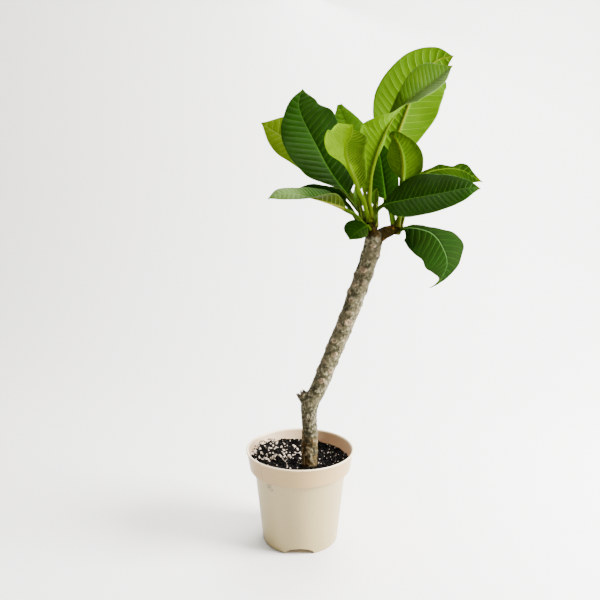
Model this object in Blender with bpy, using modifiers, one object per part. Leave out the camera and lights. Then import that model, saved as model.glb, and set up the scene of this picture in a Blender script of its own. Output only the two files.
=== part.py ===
"""A young frangipani in a plastic nursery pot: pot, soil, one branched stem and its leaves.

Sizes and places are in millimetres from the pot's axis on the ground: X to the right, Y to the
back, Z up. MM turns them into metres when a mesh is made. The last step moves everything
together so that the middle of the whole plant's box stands over the origin.
"""

import math
from dataclasses import dataclass

import bpy
import numpy as np
from mathutils import Matrix

MM = 0.001
GAP = 0.3

# Pot: a 12 cm round nursery pot with a collar, a thin lip and a recessed floor
POT_RADIUS = 60.0
POT_HEIGHT = 105.0
POT_FOOT_RADIUS = 41.8
POT_WALL = 1.5
LIP_HEIGHT = 2.4
LIP_REACH = 1.4
COLLAR_BOTTOM = 82.8
COLLAR_BOTTOM_RADIUS = 55.6
COLLAR_STEP = 5.2
FLOOR_TOP = 8.4
FLOOR_THICKNESS = 1.8
FOOT_RING = 2.2
NOTCH_HALF_WIDTH = 14.5
NOTCH_HEIGHT = 6.2
NOTCHES = 3
DRAIN_RADIUS = 4.0
DRAIN_CIRCLE = 24.0
DRAINS = 4
POT_SIDES = 42

# Soil: dished, and a little higher where it clings to the wall
SOIL_LEVEL = 84.0
SOIL_DISH = 6.5
SOIL_BUMP = 1.0

# Stem: straight foot, kink at the old cut, leaning upper part
STEM_SIDES = 14
STEM_PATH = [
    (11, 0, 50, 8.4),
    (10.6, 0, 84, 8.6),
    (10.6, 0, 104, 9.3),
    (10.8, 0, 126, 8.5),
    (9.8, 0, 146, 8.9),
    (12.5, 0, 159, 9.6),
    (19.5, 0.5, 172, 9.1),
    (33.7, 1, 208, 9.0),
    (43.7, 1, 232.5, 9.1),
    (54.2, 1, 259.5, 9.3),
    (61.9, 1, 282, 9.5),
    (68.5, 0.5, 301.5, 9.4),
    (75, 0, 322.5, 9.2),
    (77.4, 0, 332.5, 8.9),
    (77.2, 0, 339.5, 5.6),
]
STEM_ROWS = 42
STUB_PATH = [(11, 0, 152, 6.0), (6.5, 0, 160, 6.2), (2.2, 0, 166.5, 5.9)]
SIDE_PATH = [(77, 0, 334, 6.2), (86, 0, 338, 6.2), (94, 0.6, 340.5, 5.4), (100.4, 1, 343, 4.4)]
SCAR_FIRST = 176.0
SCAR_STEP = 7.0
SCARS = 21
SCAR_TURN = 137.5
SCAR_SIZE = 4.4
SCAR_LIFT = 0.7
BARK_WAVE = 0.28
HOLE_CLEARANCE = 0.5
HOLE_DEPTH = 36.4

# Growing tips, round-topped, on which the leaf stalks are seated: (low, top, radius)
SHOOTS = {
    "main": ((77.5, 0.0, 337.0), (73.0, 0.0, 357.5), 6.6),
    "side": ((100.5, 1.0, 341.0), (102.0, 1.0, 352.5), 4.6),
}

# Leaves
BLADE_THICKNESS = 0.7
STALK_DEPTH = 1.5
RIDGE = 0.45
VEIN_SLANT = 0.25
STALK_ROWS = 3
ROW_PITCH = 8.0
BLADE_ROWS = (6, 17)

COLOURS = {
    "pot": (0.72, 0.64, 0.52, 1),
    "soil": (0.02, 0.017, 0.014, 1),
    "stem": (0.23, 0.2, 0.15, 1),
    "dark": (0.03, 0.11, 0.02, 1),
    "mid": (0.09, 0.22, 0.03, 1),
    "lime": (0.22, 0.4, 0.02, 1),
    "yellow": (0.4, 0.52, 0.01, 1),
}
COLLECTION = "potted_frangipani"


@dataclass
class Leaf:
    """One leaf. left and right are its half widths at even steps from the blade's base to its
    tip, as seen on the upper face with the tip up, and end the half widths of a blunt tip. fold
    is how far each half rises from flat, in degrees, faces are the ways its upper face looks
    from base to tip, and stalk is the half width of its stalk."""

    name: str
    tone: str
    shoot: str
    drop: float
    seat: tuple
    stalk_path: list
    midrib: list
    faces: list
    left: tuple
    right: tuple
    fold: tuple = (12, 12)
    fold_tip: tuple = None
    even: float = 0.0
    stalk: float = 1.9
    end: tuple = (0, 0)


LEAVES = [
    Leaf(
        "leaf_dark_left", "dark", "main", 0, (-0.7, 0.5, 0.5),
        [(61, 7, 369.5)],
        [(52, 12, 381), (39.2, 16, 397), (28.8, 22, 413), (19.3, 29, 431.5), (9.7, 36, 450),
         (1.6, 42, 467), (-1.6, 46, 480), (1, 50, 493)],
        [(0.25, -0.75, 0.6), (0.1, -0.95, 0.3), (0, -0.9, 0.4)],
        (5, 16, 26, 30.5, 33, 33, 31.5, 27, 17, 7),
        (10, 16, 21, 25, 29, 32, 34, 32, 22.5, 17),
        fold=(14, 14), even=0.4,
    ),
    Leaf(
        "leaf_back_left", "lime", "main", 8, (-0.75, 0.65, 0.2),
        [(62, 22, 371)],
        [(47, 36, 395), (20, 54, 415), (-1, 60, 433), (-20, 66, 447), (-44, 70, 462.5)],
        [(0.3, -0.85, 0.4), (0.2, -0.95, 0.2)],
        (14, 17, 19.5, 21, 15),
        (14, 24, 28, 28.5, 23),
        fold=(10, 10),
    ),
    Leaf(
        "leaf_back", "mid", "main", 3.5, (-0.05, 1, 0.2),
        [(72, 22, 374)],
        [(68, 32, 396), (62, 46, 425), (54, 58, 452), (43.5, 68, 482)],
        [(0, -0.9, 0.4), (0, -1, 0.2)],
        (11, 15, 17, 16, 12),
        (14, 24, 24.5, 20, 12.5),
        fold=(12, 12), end=(2, 3),
    ),
    Leaf(
        "leaf_young_folded", "yellow", "main", 0, (-0.45, -0.6, 0.7),
        [(65.5, -7, 376)],
        [(58.8, -10, 389.3), (54.9, -13, 399.2), (50.4, -17, 408), (46.8, -20, 417), (44.9, -24, 425.5),
         (46, -28, 433), (49.4, -31, 439), (51.5, -32, 449.5)],
        [(0, 1, -0.1), (-0.1, 0.95, 0.2)],
        (8.5, 13.8, 17.8, 21, 22.5, 21, 18),
        (2, 2.8, 5.5, 10, 18.5, 24, 20),
        fold=(12, 20), even=0.3, stalk=1.7, end=(15, 10),
    ),
    Leaf(
        "leaf_twisted", "lime", "main", 0, (0.08, 0.12, 1),
        [(71, -4, 376)],
        [(71.2, -5, 387), (72.4, -6, 399.4), (74.6, -7, 411.4), (78.3, -8, 425.3), (83.5, -9, 439),
         (89.7, -9, 452.8), (97.3, -7, 464.5), (107.2, -3, 474.5), (121.3, 4, 486), (135.5, 10, 496),
         (147.5, 15, 505.5), (158, 19, 514.4)],
        [(-0.6, 0.8, 0.1), (-0.6, 0.8, 0.2), (-0.5, -0.75, 0.5), (-0.2, -0.75, 0.55), (-0.2, -0.75, 0.55)],
        (8, 14, 15, 8, 13.5, 21, 19),
        (10.5, 24, 31, 27, 19, 18, 12),
        fold=(45, 45), fold_tip=(45, 20), stalk=2,
    ),
    Leaf(
        "leaf_tall_back", "lime", "main", 5, (0.8, 0.6, 0.2),
        [(82, 16, 380)],
        [(90, 24, 408), (94, 27, 419), (99.7, 31, 434), (106.5, 35, 450), (114.1, 39, 470),
         (122.8, 42, 492.6), (134, 45, 513), (148, 47, 525.5), (165, 47, 529.5)],
        [(0, 1, 0.2), (0, 1, 0.2)],
        (12, 22, 29, 34.5, 34, 32, 28),
        (13.5, 26, 36, 39.5, 36, 29, 16),
        fold=(16, 6), stalk=2.1,
    ),
    Leaf(
        "leaf_right_upright", "lime", "side", 0, (0.3, -0.1, 0.95),
        [(104.5, -1, 374)],
        [(105.8, -1, 396), (106, -3, 409.6), (104.8, -6, 418.5), (102.4, -8, 427.3), (99.3, -9, 434.2),
         (95.7, -8, 439.7), (91, -5, 443)],
        [(0, 1, 0), (0.1, 1, 0.2)],
        (19.5, 22, 20.5, 16, 9),
        (11, 17, 18, 14, 8.5),
        fold=(12, 45), end=(3, 2),
    ),
    Leaf(
        "leaf_inner_dark", "dark", "side", 2, (-0.4, 0.9, 0.2),
        [(96.5, 9, 366)],
        [(91.5, 10, 377), (88, 13, 400), (85, 16, 420), (81, 19, 439.5)],
        [(0.2, -0.9, 0.3), (0.2, -0.9, 0.3)],
        (14, 17, 17, 14, 9),
        (14, 17, 17, 14, 9),
        fold=(14, 14),
    ),
    Leaf(
        "leaf_dark_right", "dark", "main", 2, (0.65, -0.75, 0.1),
        [(78, -11.5, 365)],
        [(82.6, -15, 371), (91.2, -19, 374.5), (102.5, -24, 377), (115.5, -29, 379.8),
         (128.4, -34, 382.3), (141.2, -38, 384.8), (153, -41, 387.5), (164.2, -43, 389.4),
         (175.6, -43, 388.6)],
        [(-0.1, -0.8, 0.6), (-0.1, -0.85, 0.5)],
        (13.5, 22.5, 27, 26, 22, 17, 9),
        (15, 20.5, 21.5, 21, 19, 16, 10.5),
        fold=(8, 8),
    ),
    Leaf(
        "leaf_back_right", "mid", "side", 1.5, (0.75, 0.65, 0.2),
        [(113, 11, 375)],
        [(122.8, 14, 397.8), (131.8, 18, 403.6), (143, 22, 408), (156.8, 26, 410), (169.4, 29, 409.8),
         (178.6, 31, 407.2), (188, 33, 402), (199, 34, 396.3)],
        [(-0.3, -0.6, 0.75), (-0.1, -0.7, 0.7)],
        (3, 5, 5, 6.5, 9, 7, 6, 11, 12, 7, 2.5),
        (6, 10, 14, 17, 19, 20, 20, 19, 16, 11, 5),
        fold=(10, 10),
    ),
    Leaf(
        "leaf_drooping", "dark", "side", 4, (0.7, -0.7, 0),
        [],
        [(106.8, -8, 348.4), (115.6, -11, 348.8), (125.4, -14, 347.2), (134.4, -16, 343.8),
         (141.4, -18, 337.3), (146.6, -19, 328.6), (150.5, -19, 319.4), (151.6, -18, 310),
         (147.9, -16, 298.3), (142.7, -15, 290.8), (135.9, -13, 286.3)],
        [(0.1, -0.7, 0.7), (0.5, -0.8, 0.4)],
        (4, 6, 7, 13, 22, 24, 24.5, 15, 10.5, 6, 1.5),
        (16, 23.5, 31, 34, 34, 31, 31.5, 26, 16, 4.5, 1.5),
        fold=(20, 4), fold_tip=(5, 10), even=0.55,
    ),
    Leaf(
        "leaf_arching_left", "mid", "main", 6, (-0.8, -0.6, 0.1),
        [(57.8, -9, 361.5)],
        [(48, -13, 367), (37.6, -18, 371.7), (26.2, -23, 376), (12.9, -29, 379.7), (0, -35, 382.8),
         (-10.8, -40, 384), (-20.4, -44, 383), (-31, -48, 379)],
        [(0, -0.3, 1), (0, -0.45, 0.9)],
        (8, 14, 16, 16, 13, 10, 6),
        (11, 17, 16, 14, 10, 8, 7),
        fold=(95, 35), fold_tip=(-45, 15), stalk=1.6,
    ),
    Leaf(
        "leaf_low_left", "mid", "main", 11.5, (-1, -0.15, 0.1),
        [(58, 3, 361)],
        [(46, 17, 378), (27, 22, 386), (10, 26, 389), (-2, 30, 389)],
        [(0, -0.4, 0.95), (0, -0.5, 0.9)],
        (10, 12, 12, 9),
        (10, 12, 11, 8),
        fold=(15, 15), stalk=1.5,
    ),
    Leaf(
        "leaf_small_round", "dark", "main", 9, (-0.3, -0.95, 0),
        [],
        [(67.5, -12.5, 351), (62, -16, 347.3), (56, -20, 343), (50.2, -24, 337.6)],
        [(-0.1, -0.9, 0.5), (-0.3, -0.9, 0.3)],
        (5, 6, 6, 4.5),
        (11.5, 15, 15.2, 11.5),
        fold=(10, 10), stalk=1.3,
    ),
    Leaf(
        "bud_left", "lime", "main", 0, (-1, -0.12, 0.1),
        [(62.5, -1.5, 365)],
        [(61, -2.5, 370), (60, -3.5, 377), (57.5, -4, 390)],
        [(0.7, -0.6, 0.2), (0.7, -0.6, 0.2)],
        (2.6, 3, 2.2),
        (2.6, 3, 2.2),
        fold=(30, 30), stalk=1.2,
    ),
    Leaf(
        "bud_right", "lime", "main", 0, (0.75, 0.05, 0.6),
        [(82, 0, 367)],
        [(82.5, -0.5, 371), (82.5, -1, 379), (81, -1.5, 389)],
        [(-0.6, -0.7, 0.2), (-0.6, -0.7, 0.2)],
        (2.8, 3.4, 2.4),
        (2.8, 3.4, 2.4),
        fold=(30, 30), stalk=1.2,
    ),
]


def clear_scene():
    for thing in list(bpy.data.objects):
        bpy.data.objects.remove(thing, do_unlink=True)


def collection(name):
    group = bpy.data.collections.new(name)
    bpy.context.scene.collection.children.link(group)
    return group


def material(name, colour, roughness):
    made = bpy.data.materials.new(name)
    made.use_nodes = True
    shader = made.node_tree.nodes["Principled BSDF"]
    shader.inputs["Base Color"].default_value = colour
    shader.inputs["Roughness"].default_value = roughness
    shader.inputs["Metallic"].default_value = 0.0
    return made


def mesh_object(name, points, faces, group, finish=None):
    """An object from points in millimetres."""
    mesh = bpy.data.meshes.new(name)
    mesh.from_pydata([tuple(MM * float(c) for c in p) for p in points], [], faces)
    mesh.shade_smooth()
    mesh.set_sharp_from_angle(angle=math.radians(40))
    made = bpy.data.objects.new(name, mesh)
    if finish:
        mesh.materials.append(finish)
    group.objects.link(made)
    return made


def turned(name, profile, sides, group, finish):
    """A profile of (radius, height) turned round the pot's axis with a Screw modifier."""
    edges = [(i, i + 1) for i in range(len(profile) - 1)]
    mesh = bpy.data.meshes.new(name)
    mesh.from_pydata([(MM * r, 0, MM * z) for r, z in profile], edges, [])
    mesh.materials.append(finish)
    made = bpy.data.objects.new(name, mesh)
    group.objects.link(made)
    screw = made.modifiers.new("turn", "SCREW")
    screw.steps = screw.render_steps = sides
    screw.use_merge_vertices = True
    screw.merge_threshold = 0.00005
    screw.use_smooth_shade = True
    return made


def applied(made):
    """The object with its modifiers worked into its mesh."""
    bpy.context.view_layer.update()
    shape = bpy.data.meshes.new_from_object(made.evaluated_get(bpy.context.evaluated_depsgraph_get()))
    made.modifiers.clear()
    old, made.data = made.data, shape
    bpy.data.meshes.remove(old)
    return made


def cutter(made, group):
    """Makes an object a hidden cutting tool."""
    for home in list(made.users_collection):
        home.objects.unlink(made)
    group.objects.link(made)
    made.hide_render = True
    made.display_type = "WIRE"
    return made


def cut(made, tools):
    for tool in tools:
        change = made.modifiers.new("cut_" + tool.name, "BOOLEAN")
        change.operation = "DIFFERENCE"
        change.solver = "EXACT"
        change.object = tool


def unit(v):
    v = np.asarray(v, float)
    return v / np.linalg.norm(v, axis=-1, keepdims=True)


def smooth_path(points, shares):
    """Points at shares (0 to 1) of the length of a smooth curve through the given ones."""
    knots = np.array(points, float)
    ends = np.vstack([2 * knots[0] - knots[1], knots, 2 * knots[-1] - knots[-2]])
    t = np.linspace(0, 1, 24, endpoint=False)[:, None]
    fine = []
    for a, b, c, d in zip(ends, ends[1:], ends[2:], ends[3:]):
        bend = (2 * a - 5 * b + 4 * c - d) * t**2 + (3 * b - a - 3 * c + d) * t**3
        fine.append(0.5 * (2 * b + (c - a) * t + bend))
    fine = np.vstack(fine + [knots[-1:]])
    steps = np.linalg.norm(np.diff(fine[:, :3], axis=0), axis=1)
    run = np.concatenate([[0], np.cumsum(steps)])
    return np.stack([np.interp(shares * run[-1], run, column) for column in fine.T], -1)


# Pot


def collar_radius(z):
    """Outer radius of the collar, which widens upwards to the lip."""
    top = POT_HEIGHT - LIP_HEIGHT
    share = (z - COLLAR_BOTTOM) / (top - COLLAR_BOTTOM)
    return COLLAR_BOTTOM_RADIUS + share * (POT_RADIUS - LIP_REACH - COLLAR_BOTTOM_RADIUS)


def body_radius(z):
    """Outer radius of the tapered body below the collar."""
    top = COLLAR_BOTTOM_RADIUS - COLLAR_STEP
    return POT_FOOT_RADIUS + (top - POT_FOOT_RADIUS) * z / COLLAR_BOTTOM


def inner_radius(z):
    """Radius of the pot's inner wall."""
    if z > COLLAR_BOTTOM + POT_WALL:
        return collar_radius(z) - POT_WALL
    return body_radius(z) - POT_WALL


def pot_profile():
    lip_under = POT_HEIGHT - LIP_HEIGHT
    foot_inner = POT_FOOT_RADIUS - FOOT_RING
    underside = FLOOR_TOP - FLOOR_THICKNESS
    shoulder = COLLAR_BOTTOM + POT_WALL
    return [
        (0, FLOOR_TOP),
        (inner_radius(FLOOR_TOP) - 1.5, FLOOR_TOP),
        (inner_radius(FLOOR_TOP + 1.5), FLOOR_TOP + 1.5),
        (inner_radius(shoulder - 0.8), shoulder - 0.8),
        (collar_radius(shoulder + 0.8) - POT_WALL, shoulder + 0.8),
        (collar_radius(lip_under) - POT_WALL, lip_under),
        (POT_RADIUS - 1.6, POT_HEIGHT - 0.4),
        (POT_RADIUS - 0.9, POT_HEIGHT),
        (POT_RADIUS - 0.3, POT_HEIGHT - 0.2),
        (POT_RADIUS, POT_HEIGHT - 0.8),
        (POT_RADIUS - 0.2, lip_under + 0.6),
        (collar_radius(lip_under), lip_under),
        (collar_radius(COLLAR_BOTTOM + 1.6), COLLAR_BOTTOM + 1.6),
        (COLLAR_BOTTOM_RADIUS - 0.5, COLLAR_BOTTOM + 0.3),
        (body_radius(COLLAR_BOTTOM - 0.3), COLLAR_BOTTOM - 0.3),
        (body_radius(1.0), 1.0),
        (POT_FOOT_RADIUS - 0.6, 0),
        (foot_inner, 0),
        (foot_inner, underside),
        (0, underside),
    ]


def foot_notches(group):
    """Low arched openings in the foot ring, one of them at the front."""
    tools = []
    for k in range(NOTCHES):
        turn = -math.pi / 2 + k * math.tau / NOTCHES
        bpy.ops.mesh.primitive_cylinder_add(vertices=20, radius=1, depth=1)
        tool = bpy.context.object
        tool.name = f"notch_cutter_{k}"
        tool.data.transform(tool_matrix(turn))
        tools.append(cutter(tool, group))
    return tools


def tool_matrix(turn):
    """Lays a unit cylinder flat as an arch across the foot ring, at the given turn."""
    size = Matrix.Diagonal((NOTCH_HALF_WIDTH * MM, NOTCH_HEIGHT * MM, 8 * FOOT_RING * MM, 1))
    lie = Matrix.Rotation(math.pi / 2, 4, "X")
    out = Matrix.Translation((0, -(POT_FOOT_RADIUS - 2) * MM, 0))
    return Matrix.Rotation(turn + math.pi / 2, 4, "Z") @ out @ lie @ size


def drain_holes(group):
    places = [(0.0, 0.0)]
    for k in range(DRAINS):
        turn = math.tau * (k + 0.5) / DRAINS
        places.append((DRAIN_CIRCLE * math.cos(turn), DRAIN_CIRCLE * math.sin(turn)))
    tools = []
    for k, (x, y) in enumerate(places):
        bpy.ops.mesh.primitive_cylinder_add(
            vertices=12, radius=DRAIN_RADIUS * MM, depth=4 * FLOOR_THICKNESS * MM,
            location=(x * MM, y * MM, (FLOOR_TOP - FLOOR_THICKNESS / 2) * MM),
        )
        tool = bpy.context.object
        tool.name = f"drain_cutter_{k}"
        tools.append(cutter(tool, group))
    return tools


def build_pot(group, cutters):
    pot = turned("pot", pot_profile(), POT_SIDES, group, material("pot", COLOURS["pot"], 0.5))
    cut(pot, foot_notches(cutters) + drain_holes(cutters))
    return pot


# Soil


def soil_height(x, y):
    """The dished, crumbly surface of the soil."""
    r = math.hypot(x, y)
    bump = math.sin(0.31 * x + 1.3) * math.cos(0.27 * y) + 0.6 * math.sin(0.62 * x - 0.48 * y)
    left_back = max(0.0, -x + y) / 75
    return SOIL_LEVEL + SOIL_DISH * (r / 53) ** 3 + SOIL_BUMP * bump + 3.0 * left_back**3


def build_soil(group, cutters):
    rim_z = SOIL_LEVEL + SOIL_DISH
    rim_r = inner_radius(rim_z) - GAP - 0.15
    low_z = FLOOR_TOP + GAP
    shoulder = COLLAR_BOTTOM + POT_WALL
    wall = [
        (inner_radius(shoulder + 0.8) - 2 * GAP, shoulder + 1.4),
        (inner_radius(shoulder - 1.2) - 2 * GAP, shoulder - 0.3),
        (inner_radius(FLOOR_TOP + 2) - 2 * GAP, FLOOR_TOP + 2),
        (inner_radius(FLOOR_TOP + 2) - 3, low_z),
        (0, low_z),
    ]
    rings = [(rim_r * k / 6, rim_z) for k in range(7)]
    soil = turned("soil", rings + wall, POT_SIDES, group, material("soil", COLOURS["soil"], 0.95))
    applied(soil)
    for v in soil.data.vertices:
        if v.co.z > (rim_z - 0.01) * MM:
            x, y = v.co.x / MM, v.co.y / MM
            r = math.hypot(x, y)
            z = soil_height(x, y)
            if r > rim_r - 0.1:
                share = (inner_radius(z) - GAP - 0.15) / r
                v.co.x *= share
                v.co.y *= share
            v.co.z = z * MM
    x, y, _, r = STEM_PATH[0]
    bpy.ops.mesh.primitive_cylinder_add(
        vertices=24, radius=(r + 0.6 + HOLE_CLEARANCE) * MM, depth=2 * HOLE_DEPTH * MM,
        location=(x * MM, y * MM, (SOIL_LEVEL + 2) * MM),
    )
    tool = bpy.context.object
    tool.name = "stem_hole_cutter"
    cut(soil, [cutter(tool, cutters)])
    return soil


# Stem


def scar_relief(z, turn, radius):
    """Height of the bark at a point: low waves, and raised leaf scars with a sunken middle."""
    height = BARK_WAVE * math.sin(3 * turn + 0.13 * z) * math.sin(0.21 * z + 1)
    for k in range(SCARS):
        up = (z - SCAR_FIRST - SCAR_STEP * k) / (SCAR_SIZE * 0.75)
        way = (turn - math.radians(SCAR_TURN * k) + math.pi) % math.tau - math.pi
        across = way * radius / SCAR_SIZE
        away = math.hypot(up, across)
        height += SCAR_LIFT * math.exp(-((away - 0.55) ** 2) / 0.18)
    return height


def tube(path, rows, sides, relief=None, dome=0):
    """Points and faces of a closed tube along path, whose points carry a radius each. With
    dome, it ends in that many shrinking rings as a half ball."""
    shares = np.linspace(0, 1, rows)
    line = smooth_path(path, shares)
    along = unit(np.gradient(line[:, :3], axis=0))
    centres, radii = list(line[:, :3]), list(line[:, 3])
    leads = list(along)
    for k in range(1, dome + 1):
        lift = math.pi / 2 * k / (dome + 0.35)
        centres.append(line[-1, :3] + along[-1] * line[-1, 3] * math.sin(lift))
        radii.append(line[-1, 3] * math.cos(lift))
        leads.append(along[-1])
    front = np.array((0.0, -1.0, 0.0))
    points = []
    for centre, lead, radius in zip(centres, leads, radii):
        fore = unit(front - (front @ lead) * lead)
        right = np.cross(lead, fore)
        for j in range(sides):
            turn = math.tau * j / sides
            r = radius + (relief(centre[2], turn, radius) if relief else 0)
            points.append(centre + r * (math.cos(turn) * fore + math.sin(turn) * right))
    faces = []
    last = len(centres) - 1
    for i in range(last):
        for j in range(sides):
            k = (j + 1) % sides
            faces.append((i * sides + j, i * sides + k, (i + 1) * sides + k, (i + 1) * sides + j))
    faces.append(tuple(range(sides))[::-1])
    faces.append(tuple(last * sides + j for j in range(sides)))
    return points, faces


def splinter(centre_z, turn, radius):
    """Uneven broken edge of the old cut stub."""
    high = max(0.0, (centre_z - 164) / 2.5)
    return 0.5 * high * math.sin(5 * turn) + 0.25 * math.sin(2 * turn + centre_z)


def shoot_path(name):
    low, top, radius = SHOOTS[name]
    middle = tuple((a + b) / 2 for a, b in zip(low, top))
    return [(*low, radius - 0.1), (*middle, radius), (*top, radius)]


def build_stem(group, cutters):
    """Stem, cut stub, side branch and both growing tips, joined in one body."""
    finish = material("stem", COLOURS["stem"], 0.85)
    stem = mesh_object("stem", *tube(STEM_PATH, STEM_ROWS, STEM_SIDES, scar_relief), group, finish)
    pieces = {
        "stub": tube(STUB_PATH, 5, 12, splinter),
        "side_branch": tube(SIDE_PATH, 7, 12),
        "main_tip": tube(shoot_path("main"), 6, 16, dome=3),
        "side_tip": tube(shoot_path("side"), 4, 14, dome=3),
    }
    for name, (points, faces) in pieces.items():
        tool = cutter(mesh_object(name, points, faces, cutters), cutters)
        join = stem.modifiers.new("join_" + name, "BOOLEAN")
        join.operation = "UNION"
        join.solver = "EXACT"
        join.object = tool
    return stem


# Leaves


def seat_point(leaf):
    """Where the stalk meets its shoot, and the way out of the shoot there."""
    low, top, radius = SHOOTS[leaf.shoot]
    axis = unit(np.subtract(top, low))
    out = unit(leaf.seat)
    if leaf.drop > 0:
        out = unit(out - (out @ axis) * axis)
    return np.array(top) - axis * leaf.drop + out * (radius + GAP), out


def leaf_path(leaf):
    seat, out = seat_point(leaf)
    return [seat, seat + 3 * out, *leaf.stalk_path, *leaf.midrib]


def blade_start(leaf):
    """Share of the whole path at which the blade begins."""
    steps = np.linalg.norm(np.diff(np.array(leaf_path(leaf)), axis=0), axis=1)
    return steps[: 2 + len(leaf.stalk_path)].sum() / steps.sum()


def half_width(given, end, share):
    """Smooth half width through the given ones, from nothing at the blade's base to end at its
    tip."""
    w = np.array([0.0, *given, end])
    ends = np.concatenate([[-0.6 * w[1]], w, [0.6 * (end - w[-2])]])
    at = np.clip(share, 0, 1) * (len(w) - 1)
    i = np.minimum(at.astype(int), len(w) - 2)
    t = at - i
    a, b, c, d = ends[i], ends[i + 1], ends[i + 2], ends[i + 3]
    bend = (2 * a - 5 * b + 4 * c - d) * t**2 + (3 * b - a - 3 * c + d) * t**3
    return np.maximum(0.5 * (2 * b + (c - a) * t + bend), 0)


def frames(leaf, s):
    """Midrib point, side direction and upper-face direction at shares s of the path."""
    path = leaf_path(leaf)
    step = 1e-3
    middle = smooth_path(path, s)
    ahead = smooth_path(path, np.clip(s + step, 0, 1))
    along = unit(ahead - smooth_path(path, np.clip(s - step, 0, 1)))
    start = blade_start(leaf)
    share = np.clip((s - start) / (1 - start), 0, 1)
    seated = np.clip(1 - s / (0.5 * start), 0, 1)[:, None]
    run = unit(np.subtract(leaf.midrib[-1], leaf.midrib[0]))
    evened = leaf.even * np.minimum(1, share * 8)[:, None]
    lead = unit(along + seated * (seat_point(leaf)[1] - along) + evened * (run - along))
    marks = np.linspace(0, 1, len(leaf.faces))
    looks = unit(leaf.faces)
    face = np.stack([np.interp(share, marks, looks[:, k]) for k in range(3)], -1)
    face = unit(face - (face * lead).sum(-1, keepdims=True) * lead)
    return middle, np.cross(lead, face), face, share


def leaf_rows(leaf):
    """Shares of the path at which the leaf has a row of points: a few on the stalk, then an odd
    and an even row for each ridge of the blade."""
    start = blade_start(leaf)
    stalk = np.linspace(0, start, STALK_ROWS, endpoint=False)
    length = np.linalg.norm(np.diff(np.array(leaf.midrib), axis=0), axis=1).sum()
    rows = int(np.clip(length / ROW_PITCH, *BLADE_ROWS))
    return np.concatenate([stalk, np.linspace(start, 1, rows)])


def leaf_points(leaf):
    """Upper and under points of the leaf, each as rows of seven from left margin to right."""
    s_row = leaf_rows(leaf)
    columns = (-3, -2, -1, 0, 1, 2, 3)
    upper = np.zeros((len(s_row), len(columns), 3))
    under = np.zeros_like(upper)
    start = blade_start(leaf)
    fold_tip = leaf.fold_tip or leaf.fold
    for j, column in enumerate(columns):
        side_sign = -1 if column < 0 else 1
        which = 0 if column < 0 else 1
        reach = abs(column) / 3
        base = np.clip((s_row - start) / (1 - start), 0, 1)
        s = s_row + VEIN_SLANT * reach * base * (1 - base) * (1 - start)
        middle, side, face, share = frames(leaf, s)
        stalk = leaf.stalk * (1 - 0.8 * share)
        given = (leaf.left, leaf.right)[which]
        width = np.maximum(half_width(given, leaf.end[which], share), stalk)
        keel = 0.6 * stalk
        across = {0: 0 * width, 1: keel, 2: (width + keel) / 2, 3: width}[abs(column)]
        angle = np.radians(leaf.fold[which] + (fold_tip[which] - leaf.fold[which]) * share)
        bladed = np.clip((width - stalk) / 4, 0, 1)
        if column:
            normal = -side_sign * np.sin(angle)[:, None] * side + np.cos(angle)[:, None] * face
        else:
            normal = face
        rise = np.where(np.arange(len(s_row)) % 2, 1, -1) * RIDGE * bladed
        lift = rise * (0, 0, 1, 0.6)[abs(column)]
        out = side_sign * np.cos(angle)[:, None] * side + np.sin(angle)[:, None] * face
        top = middle + across[:, None] * out + lift[:, None] * normal
        deep = STALK_DEPTH * stalk
        edge = BLADE_THICKNESS + (1 - bladed) * 0.7 * stalk
        depth = {0: np.maximum(deep, 1.3 * BLADE_THICKNESS), 1: (edge + deep) / 2}.get(abs(column), edge)
        upper[:, j] = top
        under[:, j] = top - depth[:, None] * normal
    return upper, under


def leaf_faces(rows, columns):
    """Triangles of the closed leaf, split alike on both faces."""
    under = rows * columns
    faces = []
    for i in range(rows - 1):
        for j in range(columns - 1):
            a, b = i * columns + j, i * columns + j + 1
            c, d = b + columns, a + columns
            faces += [(a, b, c), (a, c, d)]
            faces += [(under + a, under + c, under + b), (under + a, under + d, under + c)]
        for j, turned_round in ((0, False), (columns - 1, True)):
            a = i * columns + j
            d = a + columns
            wall = [(a, d, under + d), (a, under + d, under + a)]
            faces += [w[::-1] for w in wall] if turned_round else wall
    for i, turned_round in ((0, False), (rows - 1, True)):
        for j in range(columns - 1):
            a = i * columns + j
            cap = [(a, under + a, under + a + 1), (a, under + a + 1, a + 1)]
            faces += [c[::-1] for c in cap] if turned_round else cap
    return faces


def build_leaf(leaf, group):
    upper, under = leaf_points(leaf)
    rows, columns, _ = upper.shape
    points = np.concatenate([upper.reshape(-1, 3), under.reshape(-1, 3)])
    finish = material(leaf.name, COLOURS[leaf.tone], 0.4)
    return mesh_object(leaf.name, points, leaf_faces(rows, columns), group, finish)


def centre_over_origin(parts, tools):
    """Hangs parts and cutting tools on one empty, moved so that the parts' box is centred over
    the origin."""
    bpy.context.view_layer.update()
    graph = bpy.context.evaluated_depsgraph_get()
    corners = []
    for part in parts:
        mesh = part.evaluated_get(graph).to_mesh()
        corners += [part.matrix_world @ v.co for v in mesh.vertices]
    lows = [min(c[k] for c in corners) for k in range(3)]
    highs = [max(c[k] for c in corners) for k in range(3)]
    holder = bpy.data.objects.new("plant", None)
    bpy.data.collections[COLLECTION].objects.link(holder)
    for thing in [*parts, *tools]:
        thing.parent = holder
    holder.location = (-(lows[0] + highs[0]) / 2, -(lows[1] + highs[1]) / 2, -lows[2])


def main():
    clear_scene()
    group = collection(COLLECTION)
    cutters = collection("cutters")
    parts = [build_pot(group, cutters), build_soil(group, cutters), build_stem(group, cutters)]
    parts += [build_leaf(leaf, group) for leaf in LEAVES]
    centre_over_origin(parts, cutters.objects)


main()
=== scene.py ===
"""Looks for the potted frangipani: pot, soil with its grains, barky stem, veined leaves, stage.

Sizes in the tables are millimetres from the pot's axis on the ground, X right, Y back, Z up.
"""

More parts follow.
